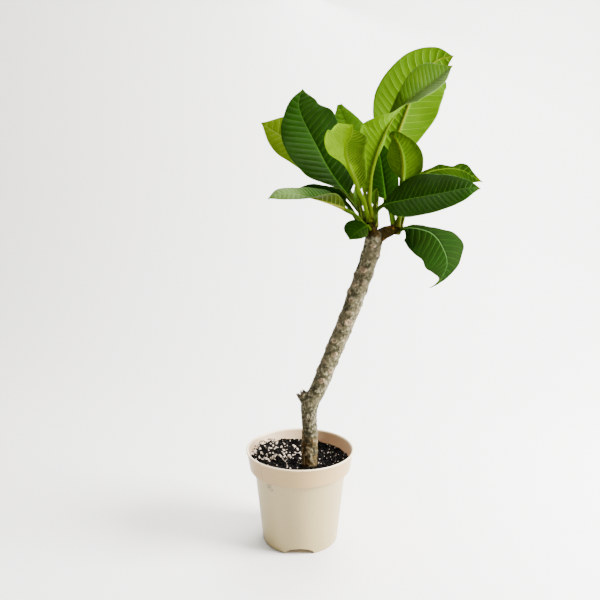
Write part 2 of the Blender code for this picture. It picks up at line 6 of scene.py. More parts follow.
import math
from dataclasses import dataclass

import bmesh
import bpy
import numpy as np
from bpy.props import FloatProperty, FloatVectorProperty, IntProperty, PointerProperty
from mathutils import Matrix, Vector, noise


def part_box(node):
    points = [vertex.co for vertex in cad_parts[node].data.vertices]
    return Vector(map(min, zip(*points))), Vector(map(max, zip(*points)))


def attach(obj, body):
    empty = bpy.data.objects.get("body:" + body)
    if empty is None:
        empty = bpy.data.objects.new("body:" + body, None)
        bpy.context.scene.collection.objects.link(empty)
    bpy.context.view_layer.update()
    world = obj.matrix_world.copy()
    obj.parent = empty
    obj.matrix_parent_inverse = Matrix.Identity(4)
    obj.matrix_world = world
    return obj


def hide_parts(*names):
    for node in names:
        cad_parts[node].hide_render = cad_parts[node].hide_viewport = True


bl_info = {
    "name": "Potted frangipani",
    "version": (1, 0, 0),
    "blender": (4, 5, 0),
    "location": "3D View > Sidebar > Frangipani",
    "description": "Builds a young frangipani in a plastic nursery pot",
    "category": "Add Mesh",
}

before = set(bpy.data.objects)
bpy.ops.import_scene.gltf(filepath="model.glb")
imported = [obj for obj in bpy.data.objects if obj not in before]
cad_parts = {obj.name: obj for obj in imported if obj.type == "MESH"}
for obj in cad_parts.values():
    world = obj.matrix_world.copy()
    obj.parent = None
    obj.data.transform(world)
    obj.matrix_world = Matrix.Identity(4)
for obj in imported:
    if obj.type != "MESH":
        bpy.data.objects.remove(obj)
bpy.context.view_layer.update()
POT_LOW, POT_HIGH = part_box("pot")
AXIS = Vector(((POT_LOW.x + POT_HIGH.x) / 2, (POT_LOW.y + POT_HIGH.y) / 2, 0))
MM = 0.001


def linear(hexcode):
    """An sRGB colour such as 'd8cbb0' as a linear RGB triple."""
    values = [int(hexcode[i : i + 2], 16) / 255 for i in (0, 2, 4)]
    return tuple(v / 12.92 if v <= 0.04045 else ((v + 0.055) / 1.055) ** 2.4 for v in values)


def size_of(label, text, default):
    """A length in metres, given here in millimetres."""
    return FloatProperty(
        name=label, description=text, default=default * MM, min=0, unit="LENGTH", precision=4
    )


def colour_of(label, text, hexcode):
    """A colour, given here as an sRGB hex value."""
    return FloatVectorProperty(
        name=label, description=text, default=linear(hexcode), subtype="COLOR", min=0, max=1, size=3
    )


def power_of(label, text, default):
    """A light's power in watts."""
    return FloatProperty(name=label, description=text, default=default, min=0, unit="POWER")


class PotSettings(bpy.types.PropertyGroup):
    rim_radius: size_of("Rim radius", "Outer radius of the lip", (POT_HIGH.x - POT_LOW.x) / 2 / MM)
    height: size_of("Height", "Height of the pot", POT_HIGH.z / MM)
    wall: size_of("Wall", "Thickness of the wall", 1.5)
    sides: IntProperty(name="Sides", description="Facets round the pot", default=160, min=24)
    body: colour_of("Plastic", "Colour of the moulded plastic", "9d8b5e")
    shade: colour_of("Collar", "Warmer tint of the collar", "a28554")
    # the inner wall's own tint, pinker than the outside
    inside: colour_of("Inside", "Dusty inner wall", "b49a78")
    # painted highlight: the top of the lip is painted paler, as where light catches its rounded edge
    lip: colour_of("Lip", "Pale worn edge of the lip", "dccaa6")
    # also the colour of the painted shade under the collar, besides soil specks, scuffs and the parting
    # line
    dirt_and_painted_shade: colour_of("Dirt", "Soil dust and scuffs", "6a5a42")


class SoilSettings(bpy.types.PropertyGroup):
    crumbs: IntProperty(name="Crumbs", description="Dark crumbs of peat and bark", default=1500, min=0)
    perlite: IntProperty(name="Perlite", description="White perlite grains", default=330, min=0)
    crumb_size: size_of("Crumb size", "Mean width of a crumb", 2.4)
    perlite_size: size_of("Perlite size", "Mean width of a perlite grain", 2.9)
    seed: IntProperty(name="Seed", description="Which random scatter", default=11)
    peat: colour_of("Peat", "Damp peat and bark", "060504")
    white: colour_of("Perlite colour", "Expanded perlite, a little dusty", "bfae9c")


class StemSettings(bpy.types.PropertyGroup):
    voxel: size_of("Detail", "Size of the remeshed bark cells", 0.7)
    scar_height: size_of("Scar height", "How far a leaf scar stands out", 1.1)
    scar_size: size_of("Scar size", "Half width of a leaf scar", 3.6)
    bark: colour_of("Bark", "Grey-olive bark", "5a533b")
    bark_dark: colour_of("Dark bark", "Hollows and old bark", "2a2814")
    # also painted as a highlight on the stem's right side
    wax_and_highlight: colour_of("Wax", "Pale waxy bloom and flakes", "a39a7c")
    scar: colour_of("Scar", "Corky leaf scars", "bb9c7c")
    foot: colour_of("Foot", "Brown old bark near the soil", "4f3d1c")
    young: colour_of("Young bark", "Dark brown side branch", "1e1602")
    fawn: colour_of("Young scars", "Orange-brown spots on young bark", "56360e")
    tip: colour_of("Tip", "Green growing tips", "46480a")


class LeafSettings(bpy.types.PropertyGroup):
    thickness: size_of("Blade thickness", "Thickness of the blade", 0.6)
    relief: size_of("Quilting", "How far the blade puffs up between its veins", 0.5)
    cell: size_of("Detail", "Distance between rows of the blade's mesh", 1.1)


class StageSettings(bpy.types.PropertyGroup):
    lens: FloatProperty(
        name="Lens", description="Focal length of the camera", default=37.89, unit="CAMERA"
    )
    distance: size_of("Camera distance", "From the pot's axis to the camera", 666.2)
    height: size_of("Camera height", "Height of the camera above the floor", 383.8)
    tilt: FloatProperty(
        name="Camera tilt", description="How far the camera looks down", default=math.radians(9.58),
        subtype="ANGLE", unit="ROTATION",
    )
    sky: power_of("Top light", "Broad soft light from above", 45.0)
    key: power_of("Key light", "Soft light from the right", 136.0)
    back: power_of("Back light", "Soft light from behind", 16.0)
    world: FloatProperty(name="Room light", description="Even light from the room", default=0.24)
    wall: colour_of("Wall", "Pale backdrop", "eeede9")


# Small helpers

PATH_STEPS = 24
MIX, MATH, RANGE = "ShaderNodeMix", "ShaderNodeMath", "ShaderNodeMapRange"
NOISE, SPLIT, FIELD = "ShaderNodeTexNoise", "ShaderNodeSeparateXYZ", "ShaderNodeAttribute"


def add(tree, kind, inputs=(), **settings):
    """Adds a node with its settings and fills its inputs."""
    node = tree.nodes.new(kind)
    for key, value in settings.items():
        setattr(node, key, value)
    fill(tree, node, inputs)
    return node


def fill(tree, node, inputs):
    """Fills a node's inputs, by name from a dict or in Blender's own order from a tuple. Each is
    a value, a socket, or another node, which stands for its first output that is in use."""
    if not isinstance(inputs, dict):
        names = [index for index, socket in enumerate(node.inputs) if socket.enabled]
        inputs = dict(zip(names, inputs))
    for key, value in inputs.items():
        if isinstance(value, bpy.types.Node):
            value = next(socket for socket in value.outputs if socket.enabled)
        if isinstance(value, bpy.types.NodeSocket):
            tree.links.new(value, node.inputs[key])
        else:
            node.inputs[key].default_value = value


def rgba(colour):
    return (*colour, 1.0)


def surface_material(name):
    """An empty material: itself, its tree, its Principled shader and its Object coordinates."""
    made = bpy.data.materials.new(name)
    made.use_nodes = True
    tree = made.node_tree
    place = add(tree, "ShaderNodeTexCoord").outputs["Object"]
    return made, tree, tree.nodes["Principled BSDF"], place


def mesh_piece(name, points, faces, materials, smooth=True):
    """An object from points in millimetres round the pot's axis."""
    mesh = bpy.data.meshes.new(name)
    world = np.asarray(points, float) * MM + np.array(AXIS)
    mesh.from_pydata(world.tolist(), [], faces)
    for material in materials:
        mesh.materials.append(material)
    if smooth:
        mesh.shade_smooth()
    made = bpy.data.objects.new(name, mesh)
    bpy.context.scene.collection.objects.link(made)
    return made


def store(mesh, name, *columns):
    """Keeps one vector for each vertex as a named attribute, for the materials."""
    field = mesh.attributes.new(name, "FLOAT_VECTOR", "POINT")
    field.data.foreach_set("vector", np.stack(columns, -1).astype(np.float32).ravel())


def worked_in(made):
    """Turns an object's modifiers into plain mesh."""
    bpy.context.view_layer.update()
    graph = bpy.context.evaluated_depsgraph_get()
    shape = bpy.data.meshes.new_from_object(made.evaluated_get(graph))
    made.modifiers.clear()
    old, made.data = made.data, shape
    bpy.data.meshes.remove(old)


def outward(mesh):
    """Turns every face of a closed mesh to look outwards."""
    shape = bmesh.new()
    shape.from_mesh(mesh)
    bmesh.ops.recalc_face_normals(shape, faces=shape.faces)
    if shape.calc_volume(signed=True) < 0:
        bmesh.ops.reverse_faces(shape, faces=shape.faces)
    shape.to_mesh(mesh)
    shape.free()


def finished(piece, slot, *nodes):
    """Hands a piece over: it rides on the plant and stands for its CAD nodes."""
    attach(piece, "root")
    if nodes:
        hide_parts(*nodes)


def node_group(name, **inputs):
    """A geometry tree with its named inputs: (tree, outputs of its input node)."""
    tree = bpy.data.node_groups.new(name, "GeometryNodeTree")
    face = tree.interface
    face.new_socket("Geometry", in_out="INPUT", socket_type="NodeSocketGeometry")
    for key, (kind, default) in inputs.items():
        socket = face.new_socket(key.capitalize(), in_out="INPUT", socket_type=kind)
        if default is not None:
            socket.default_value = default
    face.new_socket("Geometry", in_out="OUTPUT", socket_type="NodeSocketGeometry")
    return tree, add(tree, "NodeGroupInput").outputs


def real_and_dressed(tree, geometry, finish):
    """Ends a geometry tree: instances made real, the material set."""
    real = add(tree, "GeometryNodeRealizeInstances", (geometry,))
    dressed = add(tree, "GeometryNodeSetMaterial", {"Geometry": real, "Material": finish})
    add(tree, "NodeGroupOutput", (dressed,))
    return tree


def through_nodes(made, tree, values):
    """Runs an object through a geometry tree with named input values, and keeps plain mesh."""
    change = made.modifiers.new(tree.name, "NODES")
    change.node_group = tree
    for socket in tree.interface.items_tree:
        if socket.in_out == "INPUT" and socket.name in values:
            change[socket.identifier] = values[socket.name]
    worked_in(made)


def unit(v):
    v = np.asarray(v, float)
    return v / np.linalg.norm(v, axis=-1, keepdims=True)


def step(low, high, x):
    """Smooth step from 0 at low to 1 at high."""
    t = np.clip((x - low) / (high - low), 0, 1)
    return t * t * (3 - 2 * t)


def path_steps(points):
    """Lengths of the stretches between a path's points."""
    return np.linalg.norm(np.diff(np.array(points, float)[:, :3], axis=0), axis=1)


def bent(a, b, c, d, t):
    """A smooth curve's value at share t of the way from b to c."""
    turn = (2 * a - 5 * b + 4 * c - d) * t**2 + (3 * b - a - 3 * c + d) * t**3
    return 0.5 * (2 * b + (c - a) * t + turn)


def smooth_path(points, shares):
    """Points at shares (0 to 1) of the length of a smooth curve through the given ones."""
    knots = np.array(points, float)
    ends = np.vstack([2 * knots[0] - knots[1], knots, 2 * knots[-1] - knots[-2]])
    t = np.linspace(0, 1, PATH_STEPS, endpoint=False)[:, None]
    fine = [bent(*four, t) for four in zip(ends, ends[1:], ends[2:], ends[3:])]
    fine = np.vstack(fine + [knots[-1:]])
    run = np.concatenate([[0], np.cumsum(path_steps(fine))])
    return np.stack([np.interp(shares * run[-1], run, column) for column in fine.T], -1)


def rough(points, size, seed):
    """Smooth noise from -1 to 1 at points in millimetres, with cells of the given size."""
    lift = Vector((seed * 7.3, seed * 3.1, seed * 5.7))
    return np.array([noise.noise(Vector(p) / size + lift) for p in points])


# Pot

COLLAR_LOW = 82.8
COLLAR_LOW_RADIUS = 55.6
BODY_TOP_RADIUS = 50.4
FOOT_RADIUS = 41.8
FOOT_INSIDE = 39.6
FLOOR_UNDER = 6.6
FLOOR_TOP = 8.4
LIP_HEIGHT = 2.4
LIP_REACH = 1.4
# how far down from its top the lip is painted paler, as a painted highlight
LIP_HIGHLIGHT_DEPTH = 1.1
PARTING_LINE = math.radians(225)
CORNER = math.radians(50)
FOOT_NOTCHES = 3
NOTCH_OUT = 39.8
# Half its width, its height and its length through the foot ring
NOTCH_SIZE = (15.5, 7.6, 17.6)
OUTER_HOLES = 4
HOLES_OUT = 24
HOLE_RADIUS = 4
HOLE_LENGTH = 7.2
# Where soil has run down the outside, under the collar
SPECKS_AT = (-30, -36, COLLAR_LOW - 5)


def collar_radius(z, rim, top):
    share = (z - COLLAR_LOW) / (top - LIP_HEIGHT - COLLAR_LOW)
    return COLLAR_LOW_RADIUS + share * (rim - LIP_REACH - COLLAR_LOW_RADIUS)


def body_radius(z):
    return FOOT_RADIUS + (BODY_TOP_RADIUS - FOOT_RADIUS) * z / COLLAR_LOW


def pot_profile(rim, top, wall):
    """Outline of the pot's wall as (radius, height), from the floor's middle round and back."""
    under = top - LIP_HEIGHT
    low = COLLAR_LOW
    inside = [
        (0, FLOOR_TOP),
        (body_radius(8) - wall - 3.0, FLOOR_TOP),
        (body_radius(9) - wall - 0.9, 9.0),
        (body_radius(11) - wall, 11.0),
        (body_radius(low) - wall, low + 0.6),
        (body_radius(low) - wall + 0.5, low + 1.3),
        (collar_radius(low + 2.2, rim, top) - wall - 0.5, low + 1.9),
        (collar_radius(low + 3, rim, top) - wall, low + 3.0),
        (collar_radius(under, rim, top) - wall, under),
    ]
    # the rounded lip, from its outermost and topmost corner
    lip = [
        (-2.4, -0.9), (-1.9, -0.3), (-1.2, 0), (-0.5, -0.15), (-0.1, -0.6), (0, -1.2), (-0.25, -1.9),
        (-0.8, -2.3),
    ]
    outside = [
        (collar_radius(under, rim, top) + 0.1, under - 0.3),
        (collar_radius(under - 1, rim, top), under - 1.2),
        (collar_radius(low + 3, rim, top), low + 3.0),
        (COLLAR_LOW_RADIUS + 0.2, low + 1.6),
        (COLLAR_LOW_RADIUS, low + 0.7),
        (COLLAR_LOW_RADIUS - 0.4, low + 0.2),
        (COLLAR_LOW_RADIUS - 1.1, low),
        (BODY_TOP_RADIUS + 0.6, low - 0.1),
        (BODY_TOP_RADIUS + 0.1, low - 0.4),
        (body_radius(low - 1), low - 1.0),
        (body_radius(1.6), 1.6),
        (FOOT_RADIUS - 0.2, 0.6),
        (FOOT_RADIUS - 0.6, 0.15),
        (FOOT_RADIUS - 1.0, 0),
        (FOOT_INSIDE, 0),
        (FOOT_INSIDE, FLOOR_UNDER),
        (0, FLOOR_UNDER),
    ]
    return inside + [(rim + r, top + z) for r, z in lip] + outside


def pot_tree():
    """Turns a profile round the pot's axis: a swept ring with its seam closed."""
    tree, given = node_group(
        "turned_pot", sides=("NodeSocketInt", 160), finish=("NodeSocketMaterial", None)
    )
    profile = add(tree, "GeometryNodeMeshToCurve", (given["Geometry"],))
    ring = add(tree, "GeometryNodeCurvePrimitiveCircle", {"Resolution": given["Sides"], "Radius": 1.0})
    swept = add(tree, "GeometryNodeCurveToMesh", {"Curve": ring, "Profile Curve": profile})
    closed = add(tree, "GeometryNodeMergeByDistance", {"Geometry": swept, "Distance": 2e-5})
    smooth = add(tree, "GeometryNodeSetShadeSmooth", (closed,))
    return real_and_dressed(tree, smooth, given["Finish"])


def pot_plastic(s):
    """Moulded polypropylene: satin, faintly cloudy, a little light soaks into the thin wall,
    so it looks milky; the top of the lip is painted paler as a painted highlight, the body just
    under the collar darker as a painted shade, the inner wall has a pinker tint of its own, and it
    is scuffed."""
    made, tree, shader, place = surface_material("moulded polypropylene cream")
    height = add(tree, SPLIT, (place,)).outputs["Z"]
    cloud = add(tree, NOISE, (place, 28.0, 4.0))
    collar = add(tree, RANGE, (height, COLLAR_LOW * MM, (COLLAR_LOW + 1) * MM))
    side = add(tree, FIELD, attribute_name="pot_side").outputs["Vector"]
    within, lip, seam = add(tree, SPLIT, (side,)).outputs
    # the mould's parting line: a faint upright line on the collar, 0.8 mm wide
    line = add(tree, RANGE, (seam, 0.0006, 0.0002, 0.0, 0.5))
    line = add(tree, MATH, (line, collar), operation="MULTIPLY")
    # painted shade in the corner under the collar, where the collar overhangs the body, fading over 2 mm
    painted_shade_and_dust = (height, (COLLAR_LOW - 2) * MM, COLLAR_LOW * MM, 0.0, 0.8)
    painted_shade_and_dust = add(tree, RANGE, painted_shade_and_dust, interpolation_type="SMOOTHSTEP")
    open_air = add(tree, MATH, (1.0, collar), operation="SUBTRACT")
    painted_shade_and_dust = add(tree, MATH, (painted_shade_and_dust, open_air), operation="MULTIPLY")
    colour = rgba(s.body)
    # the collar's warmer tint, the inner wall's pinker tint, the painted highlight on the lip, the
    # parting line, and the painted shade under the collar
    for share, tint in (
        (collar, s.shade), (within, s.inside), (lip, s.lip), (line, s.dirt_and_painted_shade), (painted_shade_and_dust, s.dirt_and_painted_shade),
    ):
        colour = add(tree, MIX, (share, colour, rgba(tint)), data_type="RGBA")
    pale = add(tree, RANGE, (cloud, 0.0, 1.0, 0.92, 1.06))
    colour = add(tree, MIX, (1.0, colour, pale), data_type="RGBA", blend_type="MULTIPLY")
    # scuffs: thin, short and level, up to 6 mm long and 1 mm high
    level = add(tree, "ShaderNodeMapping", {"Vector": place, "Scale": (150.0, 150.0, 900.0)})
    scuffs = add(tree, RANGE, (add(tree, NOISE, (level, 1.0, 3.0)), 0.7, 0.78, 0.0, 0.55))
    # and specks of soil, 1 to 2 mm, in one patch where it has run down under the collar
    spot = tuple(AXIS + Vector(SPECKS_AT) * MM)
    off = add(tree, "ShaderNodeVectorMath", (place, spot), operation="DISTANCE")
    patch = add(tree, RANGE, (off, 0.009, 0.003, 0.0, 0.3))
    speck = add(tree, MATH, (add(tree, NOISE, (place, 420.0, 2.0)), patch), operation="ADD")
    specks = add(tree, RANGE, (speck, 0.7, 0.74, 0.0, 0.9))
    marks = add(tree, MATH, (scuffs, specks), operation="MAXIMUM")
    # mould texture with a grain of about 1.2 mm, coarser than life so that it shows
    grain = add(tree, NOISE, (place, 800.0, 2.0))
    fill(tree, shader, {
        "Base Color": add(tree, MIX, (marks, colour, rgba(s.dirt_and_painted_shade)), data_type="RGBA"),
        "Roughness": add(tree, RANGE, (cloud, 0.0, 1.0, 0.36, 0.5)),
        "Normal": add(tree, "ShaderNodeBump", {"Height": grain, "Strength": 0.06, "Distance": 0.0004}),
        "IOR": 1.49,
        "Subsurface Weight": 0.12,
        "Subsurface Radius": (0.004, 0.003, 0.002),
        "Subsurface Scale": 1.0,
    })
    return made


def cut_away(made, tools):
    """Cuts the tools out of an object, and removes them."""
    for tool in tools:
        change = made.modifiers.new("cut", "BOOLEAN")
        change.operation = "DIFFERENCE"
        change.solver = "EXACT"
        change.object = tool
    worked_in(made)
    for tool in tools:
        bpy.data.objects.remove(tool, do_unlink=True)


def cylinder(radius_x, radius_y, depth, place, sides=48):
    """A closed cylinder as a cutting tool, in millimetres."""
    bpy.ops.mesh.primitive_cylinder_add(vertices=sides, radius=1, depth=1)
    tool = bpy.context.object
    size = Matrix.Diagonal((radius_x * MM, radius_y * MM, depth * MM, 1))
    tool.data.transform(place @ size)
    return tool


def pot_cutters():
    """Three notches in the foot ring, the first in front, and five drain holes in the floor."""
    tools = []
    lie = Matrix.Rotation(math.pi / 2, 4, "X")
    out = Matrix.Translation((0, -NOTCH_OUT * MM, 0))
    for k in range(FOOT_NOTCHES):
        turn = Matrix.Rotation(k * math.tau / FOOT_NOTCHES, 4, "Z")
        tools.append(cylinder(*NOTCH_SIZE, Matrix.Translation(AXIS) @ turn @ out @ lie))
    turns = [math.tau * (k + 0.5) / OUTER_HOLES for k in range(OUTER_HOLES)]
    middle = (FLOOR_UNDER + FLOOR_TOP) / 2
    for x, y in [(0, 0)] + [(HOLES_OUT * math.cos(a), HOLES_OUT * math.sin(a)) for a in turns]:
        place = Matrix.Translation(AXIS + Vector((x, y, middle)) * MM)
        tools.append(cylinder(HOLE_RADIUS, HOLE_RADIUS, HOLE_LENGTH, place, 32))
    return tools


def make_pot(s):
    rim, top, wall = s.rim_radius / MM, s.height / MM, s.wall / MM
    profile = pot_profile(rim, top, wall)
    mesh = bpy.data.meshes.new("pot_body")
    edges = [(i, i + 1) for i in range(len(profile) - 1)]
    # the profile is swept along a ring of 1 m radius, so each radius starts 1 m inside it
    mesh.from_pydata([(r * MM - 1.0, -z * MM, 0) for r, z in profile], edges, [])
    pot = bpy.data.objects.new("pot_body", mesh)
    bpy.context.scene.collection.objects.link(pot)
    through_nodes(pot, pot_tree(), {"Sides": s.sides, "Finish": pot_plastic(s)})
    pot.data.transform(Matrix.Translation(AXIS))
    outward(pot.data)
    cut_away(pot, pot_cutters())
    pot.data.set_sharp_from_angle(angle=CORNER)
    x, y, z = (np.array([v.co for v in pot.data.vertices]) - np.array(AXIS)).T
    r, z = np.hypot(x, y) / MM, z / MM
    middle = np.where(z > COLLAR_LOW + 1, collar_radius(z, rim, top), body_radius(z)) - wall / 2
    # the top of the lip, painted paler as a painted highlight
    lip = z > top - LIP_HIGHLIGHT_DEPTH
    # how far the parting line is away, in metres, and out of reach at the back
    seam = np.abs(x * math.sin(PARTING_LINE) - y * math.cos(PARTING_LINE)) + (y > 0)
    store(pot.data, "pot_side", (r < middle) & ~lip, lip, seam)
    finished(pot, "pot", "pot")


# Soil

SOIL_MIDDLE = 84.0
SOIL_REACH = 54.6
SOIL_CELL = 1.5
STEM_AT = 10.8
STEM_ROOM = 9.5


def soil_height(x, y):
    """The dished surface of the soil, as in the solid under it, with crumbly unevenness."""
    dish = 6.5 * (np.hypot(x, y) / 53) ** 3
    bump = np.sin(0.31 * x + 1.3) * np.cos(0.27 * y) + 0.6 * np.sin(0.62 * x - 0.48 * y)
    left_back = np.maximum(0.0, -x + y) / 75
    return SOIL_MIDDLE + dish + bump + 3.0 * left_back**3


def damp_peat(s):
    """Damp peat and composted bark: nearly black, matte, crumbly, with brown bits."""
    made, tree, shader, place = surface_material("damp peat and bark")
    crumb = add(tree, NOISE, (place, 420.0, 5.0))
    brown = tuple(min(1, 3.2 * c + 0.006) for c in s.peat)
    browner = add(tree, RANGE, (crumb, 0.5, 0.75))
    fill(tree, shader, {
        "Base Color": add(tree, MIX, (browner, rgba(s.peat), rgba(brown)), data_type="RGBA"),
        "Roughness": add(tree, RANGE, (crumb, 0.0, 1.0, 0.95, 0.55)),
        "Specular IOR Level": 0.03,
        "Normal": add(tree, "ShaderNodeBump", {"Height": crumb, "Strength": 0.8, "Distance": 0.001}),
    })
    return made


def perlite_white(s):
    """Expanded perlite: chalky white popped glass, pitted, dusty, with brown stains."""
    made, tree, shader, place = surface_material("expanded perlite")
    pits = add(tree, "ShaderNodeTexVoronoi", (place, 900.0))
    stained = add(tree, RANGE, (add(tree, NOISE, (place, 190.0, 3.0)), 0.5, 0.68))
    dull = tuple(0.34 * c for c in s.white)
    fill(tree, shader, {
        "Base Color": add(tree, MIX, (stained, rgba(s.white), rgba(dull)), data_type="RGBA"),
        "Roughness": 0.9,
        "Normal": add(tree, "ShaderNodeBump", {"Height": pits, "Strength": 0.5, "Distance": 0.0005}),
    })
    return made


def grain_tree():
    """Scatters lumpy grains over a surface: each one sized, turned and squashed at random."""
    tree, given = node_group(
        "strewn_grains", amount=("NodeSocketFloat", 1.0), grain=("NodeSocketFloat", 0.002),
        seed=("NodeSocketInt", 0), lumps=("NodeSocketFloat", 0.3), finish=("NodeSocketMaterial", None),
    )
    spots = add(
        tree, "GeometryNodeDistributePointsOnFaces",
        {"Mesh": given["Geometry"], "Density": given["Amount"], "Seed": given["Seed"]},
    )
    turn, bulk = (
        add(
            tree, "FunctionNodeRandomValue", {0: low, 1: high, "Seed": given["Seed"]},
            data_type="FLOAT_VECTOR",
        )
        for low, high in (((0.0,) * 3, (math.tau,) * 3), ((0.45, 0.45, 0.35), (1.5, 1.2, 0.9)))
    )
    size = add(tree, "ShaderNodeVectorMath", {0: bulk, "Scale": given["Grain"]}, operation="SCALE")
    ball = add(tree, "GeometryNodeMeshIcoSphere", {"Radius": 0.5, "Subdivisions": 2})
    strewn = {"Points": spots, "Instance": ball, "Rotation": turn, "Scale": size}
    strewn = add(tree, "GeometryNodeInstanceOnPoints", strewn)
    real = add(tree, "GeometryNodeRealizeInstances", (strewn,))
    # lumps of about 2 mm push each grain out of round
    lump = add(tree, NOISE, {"Scale": 520.0, "Detail": 1.0}).outputs["Color"]
    centred = add(tree, "ShaderNodeVectorMath", (lump, (0.5, 0.5, 0.5)), operation="SUBTRACT")
    reach = add(tree, MATH, (given["Grain"], given["Lumps"]), operation="MULTIPLY")
    shift = add(tree, "ShaderNodeVectorMath", {0: centred, "Scale": reach}, operation="SCALE")
    lumpy = add(tree, "GeometryNodeSetPosition", {"Geometry": real, "Offset": shift})
    return real_and_dressed(tree, lumpy, given["Finish"])


def soil_patch(keep, lift=0.0):
    """A piece of the soil's surface as a grid of square cells where keep(x, y) is true."""
    count = int(SOIL_REACH // SOIL_CELL)
    points, index, faces = [], {}, []
    for i in range(-count, count + 1):
        for j in range(-count, count + 1):
            x, y = i * SOIL_CELL, j * SOIL_CELL
            if math.hypot(x, y) < SOIL_REACH and keep(x, y):
                index[i, j] = len(points)
                points.append((x, y, float(soil_height(x, y)) + lift))
    for i, j in index:
        ring = [(i, j), (i + 1, j), (i + 1, j + 1), (i, j + 1)]
        if all(c in index for c in ring):
            faces.append([index[c] for c in ring])
    return points, faces


def away_from_stem(x, y):
    return math.hypot(x - STEM_AT, y) > STEM_ROOM


def in_heap(x, y):
    """The left back of the pot, where most of the perlite has gathered."""
    return x < 0.3 * y - 2 and y > 0.4 * x + 14 and away_from_stem(x, y)


def wall_smear():
    """A patch of the inner wall at the left back, where soil clings above the surface."""
    rim, top = 60, 105
    rows, columns = 9, 46
    points = []
    for i in range(rows):
        for j in range(columns):
            # a low mound, 11 mm high in its middle and 2 mm at its ends
            turn = math.radians(95 + 100 * j / (columns - 1))
            height = 1 - abs(2 * j / (columns - 1) - 1) ** 1.5
            z = 88 + (2 + 9 * height) * i / (rows - 1)
            r = collar_radius(z, rim, top) - 2.0
            points.append((r * math.cos(turn), r * math.sin(turn), z))
    corners = [i * columns + j for i in range(rows - 1) for j in range(columns - 1)]
    return points, [(a, a + columns, a + columns + 1, a + 1) for a in corners]


def scatter(name, patch, count, size, seed, lumps, finish, tree):
    """Grains over a patch, about count of them, as one plain mesh."""
    piece = mesh_piece(name, *patch, [finish])
    area = sum(f.area for f in piece.data.polygons)
    values = {"Amount": count / area, "Grain": size, "Seed": seed, "Lumps": lumps, "Finish": finish}
    through_nodes(piece, tree, values)
    piece.data.shade_smooth()
    finished(piece, "soil")


def make_soil(s):
    peat, white = damp_peat(s), perlite_white(s)
    points, faces = soil_patch(lambda x, y: True)
    lifted = np.array(points)
    lifted[:, 2] += 0.5 + 0.9 * rough(lifted, 5.0, 1) + 0.5 * rough(lifted, 2.2, 2)
    finished(mesh_piece("soil_top", lifted, faces, [peat]), "soil")
    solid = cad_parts["soil"]
    solid.data.materials.clear()
    solid.data.materials.append(peat)
    tree = grain_tree()
    ground, heap, smear = soil_patch(away_from_stem, 0.6), soil_patch(in_heap, 1.0), wall_smear()
    for name, patch, count, size, seed, lumps, finish in (
        ("soil_crumbs", ground, s.crumbs, s.crumb_size, 0, 0.55, peat),
        ("soil_perlite", ground, s.perlite * 0.55, s.perlite_size * 0.68, 1, 0.35, white),
        ("soil_perlite_heap", heap, s.perlite * 0.3, s.perlite_size * 1.05, 2, 0.5, white),
        ("soil_crumbs_heap", heap, s.crumbs * 0.2, s.crumb_size, 6, 0.55, peat),
        ("soil_clinging_crumbs", smear, 90, s.crumb_size * 0.8, 3, 0.5, peat),
        ("soil_clinging_perlite", smear, 60, s.perlite_size * 0.7, 4, 0.3, white),
    ):
        scatter(name, patch, count, size, s.seed + seed, lumps, finish, tree)


# Stem: paths of points with a radius each

STEM_PATH = [
    (11, 0, 50, 8.4), (10.6, 0, 84, 8.6), (10.6, 0, 104, 9.3), (10.8, 0, 126, 8.5), (9.8, 0, 146, 8.9),
    (12.5, 0, 159, 9.6), (19.5, 0.5, 172, 9.1), (33.7, 1, 208, 9.0), (43.7, 1, 232.5, 9.1),
    (54.2, 1, 259.5, 9.3), (61.9, 1, 282, 9.5), (68.5, 0.5, 301.5, 9.4), (75, 0, 322.5, 9.2),
    (77.2, 0, 332.5, 9.3), (76.8, 0, 340, 8.4), (76.2, 0, 345.5, 7),
]
STUB_PATH = [(11, 0, 152, 6.0), (6.5, 0, 160, 6.2), (2.2, 0, 166.5, 5.9)]
SIDE_PATH = [(77, 0, 335, 6.8), (86, 0, 341.5, 6.6), (94, 0.6, 345, 5.9), (100.6, 1, 347.5, 4.8)]
# The stem and on through its growing tip, for telling where a point of the bark is
BARK_PATH = STEM_PATH[:-1] + [(75, 0, 348, 6.6), (73, 0, 357.5, 6.6)]
TUBE_PITCH = 1.5
BARK_STEPS = 700
BARK_BATCHES = 60
STEM_RADIUS = 9.0
# Each growing tip's foot and top, and how far out the stalks are seated on it
SHOOTS = {
    "main": ((77.5, 0.0, 337.0), (73.0, 0.0, 357.5), 6.6),
    "side": ((100.5, 1.0, 341.0), (102.0, 1.0, 352.5), 4.6),
}
# Leaf scars on the side that is seen, as (height, turn from the front in degrees, size); those on
# the other sides follow the plant's own spiral
SCARS_SEEN = [
    (330.6, -4, 0.8), (323.0, 48, 0.9), (315.3, 28, 0.8), (304.8, -21, 1.1), (300.7, 84, 0.9),
    (291.8, 16, 1.25), (287.4, -46, 0.8), (271.4, -27, 0.8), (262.9, 51, 0.9), (258.5, -8, 0.9),
    (249.5, 12, 1.15), (243.0, -42, 0.9), (231.0, 34, 1.1), (226.5, -30, 0.8), (214.0, 4, 1.0),
    (203.0, -36, 0.9), (197.0, 30, 1.0), (184.0, -10, 1.0),
    # those whose swelling shows at the stem's edges
    (319.0, -82, 0.9), (297.0, -84, 0.9), (278.0, -80, 1.0), (251.0, -84, 0.9), (235.0, -78, 0.9),
    (217.0, -84, 1.0), (192.0, -82, 0.9), (321.0, 86, 1.0), (283.0, 82, 0.9), (270.0, 90, 0.8),
    (240.0, 84, 1.0), (221.0, 80, 0.9), (206.0, 88, 0.9), (188.0, 84, 1.0),
]
SCARS = 21
SCAR_FIRST = 176.0
SCAR_STEP = 7.0
SCAR_TURN = 137.5
SPLINTERS = 22


